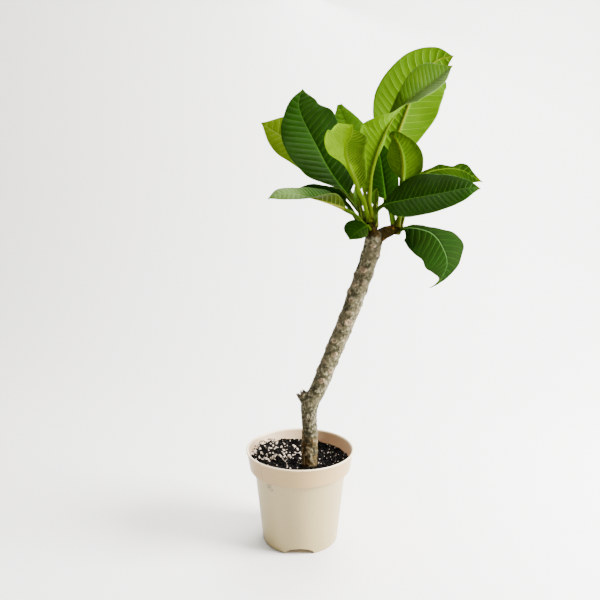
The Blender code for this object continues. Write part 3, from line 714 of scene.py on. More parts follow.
def tube(path, sides, dome=False):
    """Points and quads of a closed tube whose path points carry a radius each. A dome of five
    rings rounds its far end."""
    rows = max(4, int(path_steps(path).sum() / TUBE_PITCH))
    line = smooth_path(path, np.linspace(0, 1, rows))
    along = unit(np.gradient(line[:, :3], axis=0))
    centres, radii, leads = list(line[:, :3]), list(line[:, 3]), list(along)
    for k in range(1, 6 if dome else 1):
        lift = math.pi / 2 * k / 5.3
        centres.append(line[-1, :3] + along[-1] * line[-1, 3] * math.sin(lift))
        radii.append(line[-1, 3] * math.cos(lift))
        leads.append(along[-1])
    points = []
    for centre, lead, radius in zip(centres, leads, radii):
        fore = unit(np.array((0, -1.0, 0)) + lead[1] * lead)
        right = np.cross(lead, fore)
        for j in range(sides):
            turn = math.tau * j / sides
            points.append(centre + radius * (math.cos(turn) * fore + math.sin(turn) * right))
    last = len(centres) - 1
    faces = [
        (i * sides + j, i * sides + k, (i + 1) * sides + k, (i + 1) * sides + j)
        for i in range(last) for j, k in zip(range(sides), (*range(1, sides), 0))
    ]
    faces.append(tuple(range(sides))[::-1])
    faces.append(tuple(last * sides + j for j in range(sides)))
    return points, faces


def shoot_path(name, broad, narrow):
    """A growing tip that tapers under the stalks clasping it."""
    low, top, _ = SHOOTS[name]
    middle = tuple((a + b) / 2 for a, b in zip(low, top))
    return [(*low, broad), (*middle, (broad + narrow) / 2), (*top, narrow)]


def bark_place(points):
    """For each point: the height of the stem's axis beside it, its turn round the axis (0 in
    front), how far along the stem it is, and its distance from the axis."""
    line = smooth_path(BARK_PATH, np.linspace(0, 1, BARK_STEPS))
    along = unit(np.gradient(line[:, :3], axis=0))
    # the nearest point of the stem's axis, found for one batch of points after another
    near = np.concatenate([
        np.argmin(((batch[:, None] - line[None, :, :3]) ** 2).sum(-1), 1)
        for batch in np.array_split(points, BARK_BATCHES)
    ])
    run = np.concatenate([[0], np.cumsum(path_steps(line))])
    centre, lead = line[near, :3], along[near]
    fore = unit(np.array((0, -1.0, 0)) + lead[:, 1:2] * lead)
    right = np.cross(lead, fore)
    off = points - centre
    turn = np.arctan2((off * right).sum(1), (off * fore).sum(1))
    return centre[:, 2], turn, run[near], np.linalg.norm(off, axis=1)


def scar_fields(z, turn, size, uneven):
    """The leaf scars' raised rims, their sunken middles and the swelling round them, 0 to 1."""
    rim, inside, swell = np.zeros_like(z), np.zeros_like(z), np.zeros_like(z)
    spiral = [(SCAR_FIRST + SCAR_STEP * k, SCAR_TURN * k % 360, 1.0) for k in range(SCARS)]
    hidden = [scar for scar in spiral if 100 < scar[1] < 260]
    for k, (height, way_round, big) in enumerate(SCARS_SEEN + hidden):
        up = (z - height) / (size * big * 0.8)
        way = (turn - math.radians(way_round) + math.pi) % math.tau - math.pi
        across = way * STEM_RADIUS / (size * big)
        # the upper side of a scar is flatter than the lower one, and none is quite round
        away = np.hypot(np.where(up > 0, up * 1.35, up), across) + 0.34 * uneven
        # the rim is corky only part of the way round, at a different side on each scar
        partly = 0.65 + 0.35 * np.cos(np.arctan2(up, across) - 2.4 * k - 4.2)
        partly = partly * (0.55 + 0.45 * math.cos(1.9 * k))
        rim = np.maximum(rim, np.exp(-(((away - 0.8) / 0.24) ** 2)) * partly)
        inside = np.maximum(inside, step(0.85, 0.35, away) * (0.6 + 0.4 * math.sin(2.7 * k)))
        swell = np.maximum(swell, np.exp(-((away / 1.25) ** 2)))
    return rim, inside, swell


def bark(s):
    """Living bark: grey-olive skin mottled dark, with pale waxen flecks, pink-brown corky scars with
    raised rims and fine wrinkles; matte. Brown near the soil, chalky and wrinkled at the kink, with a
    painted highlight of more pale flecks and cracks on the right side from the middle down, dark brown
    on the side branch and green at the growing tips."""
    made, tree, shader, place = surface_material("frangipani bark")
    marks, zones, lie = (
        add(tree, FIELD, attribute_name=name).outputs["Vector"]
        for name in ("bark_marks", "bark_zones", "bark_place")
    )
    scar, inside, tip = add(tree, SPLIT, (marks,)).outputs
    # the second zone is the chalky kink together with the painted highlight on the right side
    foot, chalk_and_highlight, young = add(tree, SPLIT, (zones,)).outputs
    # dark mottles 3 to 6 mm across, larger clouds, and flecks of wax 1 to 3 mm across
    mottle, clouds, flecks = (
        add(tree, NOISE, (place, *scale_and_detail))
        for scale_and_detail in ((190.0, 3.0), (85.0, 2.0), (300.0, 2.0))
    )
    dark = add(tree, MATH, (clouds, 0.5, mottle), operation="MULTIPLY_ADD")
    # the waxen flecks are thicker at the chalky kink, and on the right side, where they are a painted
    # highlight
    wax_and_painted_sheen = add(tree, MATH, (chalk_and_highlight, 0.1, flecks), operation="MULTIPLY_ADD")
    corky = add(tree, MATH, (add(tree, RANGE, (mottle, 0.3, 0.5)), scar), operation="MULTIPLY")
    sunken = add(tree, MATH, (inside, 0.75), operation="MULTIPLY")
    heart = tuple(0.35 * a + 0.5 * b for a, b in zip(s.scar, s.bark_dark))
    # young bark has fawn spots, and the tips are part brown, part green
    skin, bud = (
        add(tree, MIX, (add(tree, RANGE, (mottle, *edges)), rgba(s.young), rgba(tint)), data_type="RGBA")
        for edges, tint in (((0.58, 0.68), s.fawn), ((0.4, 0.6), s.tip))
    )
    # fine upright wrinkles, about 1 mm apart
    threads = add(tree, "ShaderNodeMapping", {"Vector": lie, "Scale": (900.0, 260.0, 0.0)})
    fine = add(tree, NOISE, (threads, 1.0, 3.0))
    # cracks of the dried skin, in cells of about 2.5 mm, where it is chalky, and also on the right side
    # as part of its painted highlight
    cells = add(tree, "ShaderNodeTexVoronoi", (lie, 400.0), feature="DISTANCE_TO_EDGE")
    crack = add(tree, MATH, (add(tree, RANGE, (cells, 0.14, 0.0)), chalk_and_highlight), operation="MULTIPLY")
    colour = rgba(s.bark)
    for share, tint in (
        (foot, rgba(s.foot)),
        (add(tree, RANGE, (dark, 0.82, 0.62, 0.0, 0.9)), rgba(s.bark_dark)),
        (add(tree, RANGE, (wax_and_painted_sheen, 0.52, 0.7, 0.0, 0.6)), rgba(s.wax_and_highlight)),
        (corky, rgba(s.scar)),
        (sunken, rgba(heart)),
        (young, skin),
        (tip, bud),
        (crack, rgba(s.bark_dark)),
    ):
        colour = add(tree, MIX, (share, colour, tint), data_type="RGBA")
    lined = add(tree, RANGE, (fine, 0.3, 1.0, 0.6, 1.2))
    deep = add(tree, MATH, (fine, flecks), operation="ADD")
    deep = add(tree, MATH, (deep, crack), operation="SUBTRACT")
    fill(tree, shader, {
        "Base Color": add(tree, MIX, (1.0, colour, lined), data_type="RGBA", blend_type="MULTIPLY"),
        "Specular IOR Level": add(tree, RANGE, (young, 0.0, 1.0, 0.12, 0.02)),
        "Roughness": add(tree, RANGE, (mottle, 0.0, 1.0, 0.6, 0.92)),
        "Normal": add(tree, "ShaderNodeBump", {"Height": deep, "Strength": 0.8, "Distance": 0.001}),
    })
    return made


def make_stem(s):
    points, faces = [], []
    for some, rings in (
        tube(STEM_PATH, 48),
        tube(STUB_PATH, 32),
        tube(SIDE_PATH, 32),
        tube(shoot_path("main", 5.8, 4.2), 36, dome=True),
        tube(shoot_path("side", 4.6, 3.2), 32, dome=True),
    ):
        faces += [tuple(i + len(points) for i in f) for f in rings]
        points += some
    finish = bark(s)
    stem = mesh_piece("stem_bark", points, faces, [finish])
    remesh = stem.modifiers.new("one_skin", "REMESH")
    remesh.mode = "VOXEL"
    remesh.voxel_size = s.voxel
    soft = stem.modifiers.new("soften", "SMOOTH")
    soft.factor = 0.5
    soft.iterations = 5
    worked_in(stem)
    mesh = stem.data
    place, normal = np.empty(len(mesh.vertices) * 3), np.empty(len(mesh.vertices) * 3)
    mesh.vertices.foreach_get("co", place)
    mesh.vertices.foreach_get("normal", normal)
    place, normal = (place.reshape(-1, 3) - np.array(AXIS)) / MM, normal.reshape(-1, 3)
    relief, marks, zones, lie = bark_fields(place, s)
    mesh.vertices.foreach_set("co", ((place + relief[:, None] * normal) * MM + np.array(AXIS)).ravel())
    store(mesh, "bark_marks", *marks)
    store(mesh, "bark_zones", *zones)
    store(mesh, "bark_place", *lie)
    mesh.materials.clear()
    mesh.materials.append(finish)
    mesh.shade_smooth()
    mesh.update()
    finished(stem, "stem", "stem")
    make_splinters(s)


def bark_fields(place, s):
    """The bark's relief in millimetres, and what its material reads: marks, zones and place."""
    z, turn, run, radius = bark_place(place)
    # scars are on the main stem only, below its collar
    on_main = step(12.5, 10.5, radius) * step(335, 328, z)
    scars = scar_fields(z, turn, s.scar_size / MM, rough(place, 2.4, 6))
    rim, inside, swell = (field * on_main for field in scars)
    lumps = rough(place, 9.0, 3)
    grit = rough(place, 3.0, 4)
    # growth rings 6 mm apart show near the foot, and fine wrinkles at the kink
    rings = np.sin(run * 1.05 + 2.5 * lumps) * step(165, 120, z)
    kink = step(118, 128, z) * step(166, 150, z)
    # young bark: the side branch, and a brown collar under the main growing tip
    side = step(81, 86, place[:, 0]) * step(328, 333, place[:, 2])
    collared = step(336, 341, place[:, 2] + 1.5 * grit) * (1 - side)
    green = step(95, 102, place[:, 0]) * step(349, 344, place[:, 2]) * side
    tip = np.maximum(step(348, 356, place[:, 2]) * (1 - side), green)
    # the bark is lumpy, and a little smoother at the top
    relief = 0.55 * lumps + 0.5 * grit + 0.16 * rings + 0.25 * kink * rough(place, 1.8, 5)
    relief = relief * (1 - 0.3 * step(337, 343, z))
    relief += s.scar_height / MM * (0.95 * swell + 0.45 * rim - 0.3 * inside)
    # painted highlight: the right side, from the middle of the trunk down, gets more pale flecks and
    # cracks, standing in for where the key light falls
    painted_highlight = 0.55 * step(0.3, 1.3, turn) * step(320, 290, z) * step(100, 130, z)
    zones = step(128, 112, z), np.maximum(kink, painted_highlight), np.maximum(side, collared)
    return relief, (rim, inside, tip), zones, (turn * STEM_RADIUS * MM, run * MM, 0 * run)


def make_splinters(s):
    """Jagged fibres of dead wood round the broken end of the old cut stub."""
    # torn dry wood: dark and matte, with browner fibres 2 mm apart
    wood, tree, shader, place = surface_material("torn dry wood")
    spread = add(tree, RANGE, (add(tree, NOISE, {"Vector": place, "Scale": 500.0}), 0.4, 0.6))
    shade = add(tree, MIX, (spread, rgba(s.young), rgba(s.foot)), data_type="RGBA")
    fill(tree, shader, {"Base Color": shade, "Roughness": 0.9})
    dice = np.random.default_rng(5)
    end = np.array(STUB_PATH[-1][:3])
    way = unit(end - STUB_PATH[-2][:3])
    right = unit(np.cross(way, (0, 1.0, 0)))
    front = np.cross(right, way)
    points, faces = [], []
    for k in range(SPLINTERS):
        # each one stands a golden turn on from the last, and every third one at the rim
        turn, out = k * 2.4, 5.2 - 1.6 * (k % 3) * dice.random()
        spoke = math.cos(turn) * right + math.sin(turn) * front
        foot = end - 1.5 * way + out * spoke
        tip = foot + (3.2 + 3.4 * dice.random()) * way + dice.normal(0, 0.6, 3)
        low = len(points)
        # five corners round its foot, and a point
        for lean in (math.tau * j / 5 for j in range(5)):
            aside = 1.2 * math.cos(lean) * spoke + 1.6 * math.sin(lean) * np.cross(way, spoke)
            points.append(foot + aside)
        points.append(tip)
        faces.append((low + 4, low + 3, low + 2, low + 1, low))
        faces += [(low + j, low + (j + 1) % 5, low + 5) for j in range(5)]
    splinters = mesh_piece("stub_splinters", points, faces, [wood], smooth=False)
    outward(splinters.data)
    finished(splinters, "stem")


# Leaves


@dataclass
class Leaf:
    """One leaf: its look, the shoot it grows on, how far down that shoot and towards what side it
    is seated, the points of its stalk and of its blade's midrib, and where its upper face looks,
    at even steps of the blade.

    left and right are its half widths at even steps from the blade's base to its tip, as seen on
    the upper face with the tip up, and end those of a blunt tip. fold and fold_tip are how steeply
    each half rises from the midrib, in degrees, and even is how far the blade is kept from
    bending with the midrib. stalk is the half width of the stalk, pitch the distance between
    veins, and roll how far each margin is rolled under, in degrees. relief, curl and wave are how
    strongly it is quilted, arched and rippled, and keel is the share of the midrib that shows its
    colour. The last two fields are how much painted shade darkens it and how much a painted sheen,
    a pale grey-green standing in for light reflected off the blade, pales it, each at the left
    half's base and tip and the right half's base and tip."""

    name: str
    look: str
    shoot: str
    drop: float
    seat: tuple
    stalk_path: list
    midrib: list
    faces: list
    left: tuple
    right: tuple
    fold: tuple = (12, 12)
    fold_tip: tuple = None
    even: float = 0.0
    stalk: float = 1.9
    end: tuple = (0, 0)
    pitch: float = 6.5
    relief: float = 1.0
    curl: float = 0.35
    wave: float = 0.6
    roll: tuple = (0, 0)
    keel: float = 1.0
    painted_leaf_shade: tuple = (0, 0, 0, 0)
    painted_leaf_sheen: tuple = (0, 0, 0, 0)


# Some leaves end with how much painted shade darkens them and how much painted sheen pales them
LEAVES = [
    Leaf(
        "leaf_dark_left", "mature", "main", 0, (-0.7, 0.5, 0.5),
        [(61, 7, 369.5)],
        [(52, 12, 381), (39.2, 16, 397), (28.8, 22, 413), (19.3, 29, 431.5), (9.7, 36, 450),
         (1.6, 42, 467), (-1.2, 46, 481), (2.8, 50, 496)],
        [(0.25, -0.75, 0.6), (0.1, -0.95, 0.3), (0, -0.9, 0.4)],
        (5, 16, 26, 30.5, 33, 33, 31.5, 27, 18, 8.5),
        (21.5, 22.8, 24, 26, 29, 32, 34, 32, 22.5, 17),
        fold=(14, 14), even=0.4, stalk=2.7, pitch=7.4, relief=1.5, wave=1, painted_leaf_sheen=(0.04, 0, 0, 0.03),
    ),
    Leaf(
        "leaf_back_left", "lime", "main", 8, (-0.75, 0.65, 0.2),
        [(62, 22, 371)],
        [(47, 36, 395), (20, 54, 415), (-1, 60, 433), (-20, 66, 447), (-44, 70, 462.5)],
        [(0.3, -0.85, 0.4), (0.2, -0.95, 0.2)],
        (14, 17, 19.5, 21, 15),
        (14, 24, 28, 28.5, 23),
        fold=(10, 10), stalk=2.3, pitch=7.6, relief=1.2,
    ),
    Leaf(
        "leaf_back", "middle", "main", 3.5, (-0.05, 1, 0.2),
        [(72, 22, 374)],
        [(68, 32, 396), (62, 46, 425), (54, 58, 452), (43.5, 68, 482)],
        [(0, -0.9, 0.4), (0, -1, 0.2)],
        (11, 15, 17, 16, 12),
        (14, 24, 24.5, 20, 12.5),
        fold=(12, 12), end=(2, 3), pitch=7,
    ),
    Leaf(
        "leaf_young_folded", "young", "main", 0, (-0.45, -0.6, 0.7),
        [(65.5, -7, 376)],
        [(60.8, -9.3, 385), (54.9, -13, 399.2), (50.4, -17, 408), (46.8, -20, 417), (44.9, -24, 425.5),
         (46, -28, 433), (49.4, -31, 439), (51.5, -32, 449.5)],
        [(0, 1, -0.1), (-0.1, 0.95, 0.2)],
        (11, 15.5, 18.8, 21.5, 22.5, 20, 17),
        (2, 2.4, 3.2, 7.2, 17.8, 22.8, 21.2),
        fold=(12, 20), even=0.3, stalk=2, end=(-11, 15),
        pitch=2.9, relief=1.6, curl=0.2, wave=0.3, roll=(-60, 15), painted_leaf_shade=(0.75, 0.9, 0, 0),
    ),
    Leaf(
        "leaf_twisted", "fresh", "main", 0, (0.08, 0.12, 1),
        [(71, -4, 376)],
        [(71, -4.6, 380.5), (72.4, -6, 399.4), (74.6, -7, 411.4), (78.3, -8, 425.3), (83.5, -9, 439),
         (89.7, -9, 452.8), (97.3, -7, 464.5), (107.2, -3, 474.5), (121.3, 4, 486), (135.5, 10, 496),
         (147.5, 15, 505.5), (158, 19, 514.4)],
        [(-0.6, 0.8, 0.1), (-0.6, 0.8, 0.15), (-0.6, 0.8, 0.2), (-0.6, 0.75, 0.2), (-0.5, 0, 0.5),
         (-0.35, -0.7, 0.5), (-0.2, -0.75, 0.55), (-0.2, -0.75, 0.55), (-0.2, -0.75, 0.55)],
        (8, 14, 15, 8, 13.5, 21, 19),
        (12.5, 22, 25.5, 9, 13, 14.5, 11),
        fold=(45, 45), fold_tip=(45, 20), stalk=1.9, pitch=5.2, relief=0.6, wave=0.4, roll=(0, 20),
        painted_leaf_shade=(0.1, 0, 0, 0), painted_leaf_sheen=(0, 0, 0, 0.4),
    ),
    Leaf(
        "leaf_tall_back", "lime", "main", 5, (0.8, 0.6, 0.2),
        [(82, 16, 380)],
        [(90, 24, 408), (94, 27, 419), (99.7, 31, 434), (106.5, 35, 450), (114.1, 39, 470),
         (122.8, 42, 492.6), (134, 45, 513), (148, 47, 525.5), (165, 47, 529.5)],
        [(0, 1, 0.2), (0, 1, 0.2)],
        (12, 22, 29, 34.5, 34, 32, 28),
        (13.5, 26, 36, 39.5, 36, 29, 16),
        fold=(16, 6), stalk=2.1, pitch=8, relief=1.0,
    ),
    Leaf(
        "leaf_right_upright", "upright", "side", 0, (0.3, -0.1, 0.95),
        [(104.5, -1, 374)],
        [(105.8, -1, 396), (106, -3, 409.6), (104.8, -6, 418.5), (102.4, -8, 427.3), (99.3, -9, 434.2),
         (95.7, -8, 439.7), (91, -5, 443)],
        [(0, 1, 0), (0.1, 1, 0.2)],
        (19.5, 22, 20.5, 16, 9),
        (11, 17, 18, 14, 8.5),
        fold=(12, 45), end=(3, 2), pitch=3.9, relief=1.0, roll=(50, 0), stalk=2.2, keel=0.25,
    ),
    Leaf(
        "leaf_inner_dark", "shaded", "side", 2, (-0.4, 0.9, 0.2),
        [(96.5, 9, 366)],
        [(91.5, 10, 377), (88, 13, 400), (85, 16, 420), (81, 19, 439.5)],
        [(0.2, -0.9, 0.3), (0.2, -0.9, 0.3)],
        (19, 21, 18, 14, 9),
        (14, 17, 17, 14, 9),
        fold=(14, 14), stalk=2.7, pitch=6, painted_leaf_shade=(0.4, 0.3, 0.4, 0.3),
    ),
    Leaf(
        "leaf_dark_right", "mature", "main", 2, (0.65, -0.75, 0.1),
        [(78, -11.5, 365)],
        [(82.6, -15, 371), (91.2, -19, 374.5), (102.5, -24, 377), (115.5, -29, 379.8),
         (128.4, -34, 382.3), (141.2, -38, 384.8), (153, -41, 387.5), (164.2, -43, 389.4),
         (175.6, -43, 388.6)],
        [(-0.1, -0.8, 0.6), (-0.1, -0.85, 0.5)],
        (13.5, 22.5, 27, 26, 22, 17, 9),
        (15, 20.5, 21.5, 21, 19, 16, 10.5),
        fold=(8, 8), pitch=5, relief=0.55, curl=0.25, wave=0.35,
        painted_leaf_shade=(0.5, 0.2, 0, 0), painted_leaf_sheen=(0, 0, 0.03, 0),
    ),
    Leaf(
        "leaf_back_right", "olive", "side", 1.5, (0.75, 0.65, 0.2),
        [(113, 11, 375)],
        [(122.8, 14, 397.8), (131.8, 18, 403.6), (143, 22, 408), (156.8, 26, 410), (169.4, 29, 409.8),
         (178.6, 31, 407.2), (188, 33, 402), (199, 34, 396.3)],
        [(-0.3, -0.6, 0.75), (-0.1, -0.7, 0.7)],
        (3, 5, 5, 6.5, 9, 7, 6, 11, 12, 7, 2.5),
        (6, 10, 14, 17, 19, 20, 20, 19, 16, 11, 5),
        fold=(10, 10), stalk=2.3, pitch=6, painted_leaf_shade=(0.4, 1, 0.2, 0.9),
    ),
    Leaf(
        "leaf_drooping", "hanging", "side", 4, (0.7, -0.7, 0),
        [],
        [(106.8, -8, 348.4), (115.6, -11, 348.8), (125.4, -14, 347.2), (134.4, -16, 343.8),
         (141.4, -18, 337.3), (146.6, -19, 328.6), (150.5, -19, 319.4), (151.6, -18, 310),
         (147.9, -16, 298.3), (142.7, -15, 290.8), (135.9, -13, 286.3)],
        [(0.1, -0.7, 0.7), (0.5, -0.8, 0.4)],
        (4, 6, 7, 13, 23, 27, 27.5, 21, 15, 8, 2.4),
        (16, 23.5, 31, 34, 34, 31, 31.5, 26, 16, 4, 2),
        fold=(20, 4), fold_tip=(5, 10), even=0.55, pitch=6.6, relief=0.75, wave=0.9,
        end=(1, 1), painted_leaf_shade=(0.1, 0.1, 0.4, 0.4), painted_leaf_sheen=(0.05, 0.05, 0.02, 0.05),
    ),
    Leaf(
        "leaf_arching_left", "arching", "main", 6, (-0.8, -0.6, 0.1),
        [(57.8, -9, 361.5)],
        [(48, -13, 367), (37.6, -18, 371.7), (26.2, -23, 376), (12.9, -29, 379.7), (0, -35, 382.8),
         (-10.8, -40, 384), (-20.4, -44, 383), (-31, -48, 379)],
        [(0, -0.3, 1), (0, -0.45, 0.9)],
        (8, 14, 16, 16, 13, 10, 6),
        (11, 17, 16, 14, 10, 8, 7),
        fold=(95, 35), fold_tip=(-45, 15), stalk=1.6, pitch=5, curl=0.1, wave=0.3,
        painted_leaf_shade=(0.7, 0, 0.7, 0), painted_leaf_sheen=(0, 0.65, 0, 0.65),
    ),
    Leaf(
        "leaf_low_left", "shaded", "main", 11.5, (-1, -0.15, 0.1),
        [(58, 3, 361)],
        [(49, 13, 374), (36, 19.5, 383), (18, 24, 388.5), (6, 27, 390), (-2, 30, 389)],
        [(0, -0.4, 0.95), (0, -0.5, 0.9)],
        (11, 13, 12, 9),
        (13, 14, 11, 8),
        fold=(15, 15), stalk=2, pitch=5.5,
    ),
    Leaf(
        "leaf_small_round", "shaded", "main", 9, (-0.3, -0.95, 0),
        [],
        [(69.5, -11.5, 351.3), (62, -16, 347.3), (56, -20, 343), (50.2, -24, 337.6)],
        [(-0.1, -0.9, 0.5), (-0.3, -0.9, 0.3)],
        (7.5, 9.5, 9, 6),
        (11.5, 15, 15.2, 11.5),
        fold=(10, 10), stalk=1.1, pitch=4.5, wave=0.3, painted_leaf_shade=(0.3, 0.3, 0.3, 0.3), painted_leaf_sheen=(0.05, 0, 0, 0),
    ),
    Leaf(
        "bud_left", "bud", "main", 0, (-1, -0.12, 0.1),
        [(64, -1.5, 365)],
        [(63, -2.5, 368), (60.6, -3, 377), (57, -3, 391)],
        [(0.3, -0.9, 0.2), (0.3, -0.9, 0.2)],
        (4.4, 5.6, 4.8),
        (6, 6.2, 4.6),
        fold=(30, 30), stalk=2.4, pitch=2.5, relief=0.3, wave=0.1,
    ),
    Leaf(
        "bud_right", "bud", "main", 0, (0.75, 0.05, 0.6),
        [(77.5, 0, 366)],
        [(78, -0.5, 371), (78.3, -0.5, 379), (79.5, 0, 389)],
        [(-0.2, -0.95, 0.2), (-0.2, -0.95, 0.2)],
        (5.4, 5.8, 4),
        (3.6, 3.8, 2.6),
        fold=(30, 30), stalk=1.9, pitch=2.5, relief=0.3, wave=0.1,
    ),
]

# Painted sheen on a leaf (pale grey-green for reflected light), its cuticle's real sheen tint, and a
# clasping stalk's brown
PAINTED_SHEEN_COLOUR = "647a44"
SHEEN = "c4dc88"
CLASP = "2e2204"

# Each look: its slot; colours of the upper face and of the under face, as blade, darker patches
# (also the colour that painted shade mixes in), veins, midrib and stalk; how much light comes
# through, its colour, and the upper face's shine
LOOKS = {
    "mature": (
        "leaf_dark", "143403 0b2200 44741c 44741c 283a04", "4a7010 35580a 9cbc60 4f4c0c 283a04",
        0.08, "90b000", 0.1,
    ),
    "shaded": (
        "leaf_dark", "0f2802 081a00 204408 2e5410 223404", "4a7010 35580a 9cbc60 4f4c0c 223404",
        0.05, "90b000", 0.0,
    ),
    "hanging": (
        "leaf_dark", "0a2004 061400 2c5018 50743c 223404", "3c6008 2c4c04 7c9c44 4f4c0c 223404",
        0.03, "90b000", 0.0,
    ),
    "middle": (
        "leaf_mid", "507e06 3c6404 86b03c 6f8d1c 3c5004", "5c7c12 466808 a8c070 6a6c18 3c5004",
        0.15, "a0b810", 0.12,
    ),
    "olive": (
        "leaf_mid", "253a03 0f2002 40581e 5f7d1c 3c4804", "3c5408 2c4004 8ca050 6a6c18 3c4804",
        0.06, "90a010", 0.0,
    ),
    "arching": (
        "leaf_mid", "263f08 122802 4c6c2a 5f7d1c 2c4004", "303c0a 263206 5c6c34 6a6c18 2c4004",
        0.06, "90a010", 0.03,
    ),
    "lime": (
        "leaf_lime", "627a04 4a6404 a4bc50 a4ac50 404c04", "3a5600 2a4800 6c8c1e 5a6010 404c04",
        0.18, "84a400", 0.1,
    ),
    "fresh": (
        "leaf_lime", "324b03 1c3602 50702a 7c8828 445404", "466600 345000 78941e 3e4a02 3c4a04",
        0.16, "90b000", 0.06,
    ),
    "upright": (
        "leaf_lime", "355f04 254c02 86ac40 86922c 304404", "3a5600 2a4600 688418 525c08 304404",
        0.15, "80a000", 0.1,
    ),
    "young": (
        "leaf_yellow", "4a6404 223400 86a030 5a5c0c 405004", "90bc00 1c2e00 90a820 3c4402 3a4804",
        0.3, "b8dc00", 0.04,
    ),
    "bud": (
        "leaf_lime", "2f5008 223c06 607c20 5a5c0c 344004", "4a6c20 345410 708a28 5a5c0c 344004",
        0.12, "a0c050", 0.1,
    ),
}

# Gap between a stalk's seat and its shoot in the solids, and how deep the stalk's foot reaches in
SEAT_GAP = 0.3
FOOT_IN = 3.4
FOOT_DOWN = 4.5
FLARE_LENGTH = 9
BLADE_COLUMNS = 20
RIB_COLUMNS = 5


def leaf_path(leaf):
    """From inside the shoot, where the stalk clasps it, to the leaf's tip."""
    low, top, radius = SHOOTS[leaf.shoot]
    axis = unit(np.subtract(top, low))
    out = unit(leaf.seat)
    if leaf.drop > 0:
        out = unit(out - (out @ axis) * axis)
    seat = np.array(top) - axis * leaf.drop + out * (radius + SEAT_GAP)
    foot = seat - FOOT_IN * out - FOOT_DOWN * axis
    return [foot, seat + 0.8 * out, *leaf.stalk_path, *leaf.midrib]


def blade_start(leaf):
    steps = path_steps(leaf_path(leaf))
    return steps[: 2 + len(leaf.stalk_path)].sum() / steps.sum()


def half_width(given, end, share):
    """Smooth half width through the given ones, from nothing at the base to end at the tip."""
    w = np.array([0.0, *given, end])
    ends = np.concatenate([[-0.6 * w[1]], w, [0.6 * (end - w[-2])]])
    at = np.clip(share, 0, 1) * (len(w) - 1)
    i = np.minimum(at.astype(int), len(w) - 2)
    return np.maximum(bent(*(ends[i + k] for k in range(4)), at - i), 0)


def frames(leaf, s):
    """At shares s of the path: the midrib's point, the directions to the right side and out of
    the upper face, and the share of the blade's own length."""
    path = leaf_path(leaf)
    nudge = 1e-3
    middle = smooth_path(path, s)
    ahead = smooth_path(path, np.clip(s + nudge, 0, 1))
    along = unit(ahead - smooth_path(path, np.clip(s - nudge, 0, 1)))
    start = blade_start(leaf)
    share = np.clip((s - start) / (1 - start), 0, 1)
    run = unit(np.subtract(leaf.midrib[-1], leaf.midrib[0]))
    evened = leaf.even * np.minimum(1, share * 8)[:, None]
    lead = unit(along + evened * (run - along))
    marks = np.linspace(0, 1, len(leaf.faces))
    looks = unit(leaf.faces)
    face = np.stack([np.interp(share, marks, looks[:, k]) for k in range(3)], -1)
    face = unit(face - (face * lead).sum(-1, keepdims=True) * lead)
    return middle, np.cross(lead, face), face, share


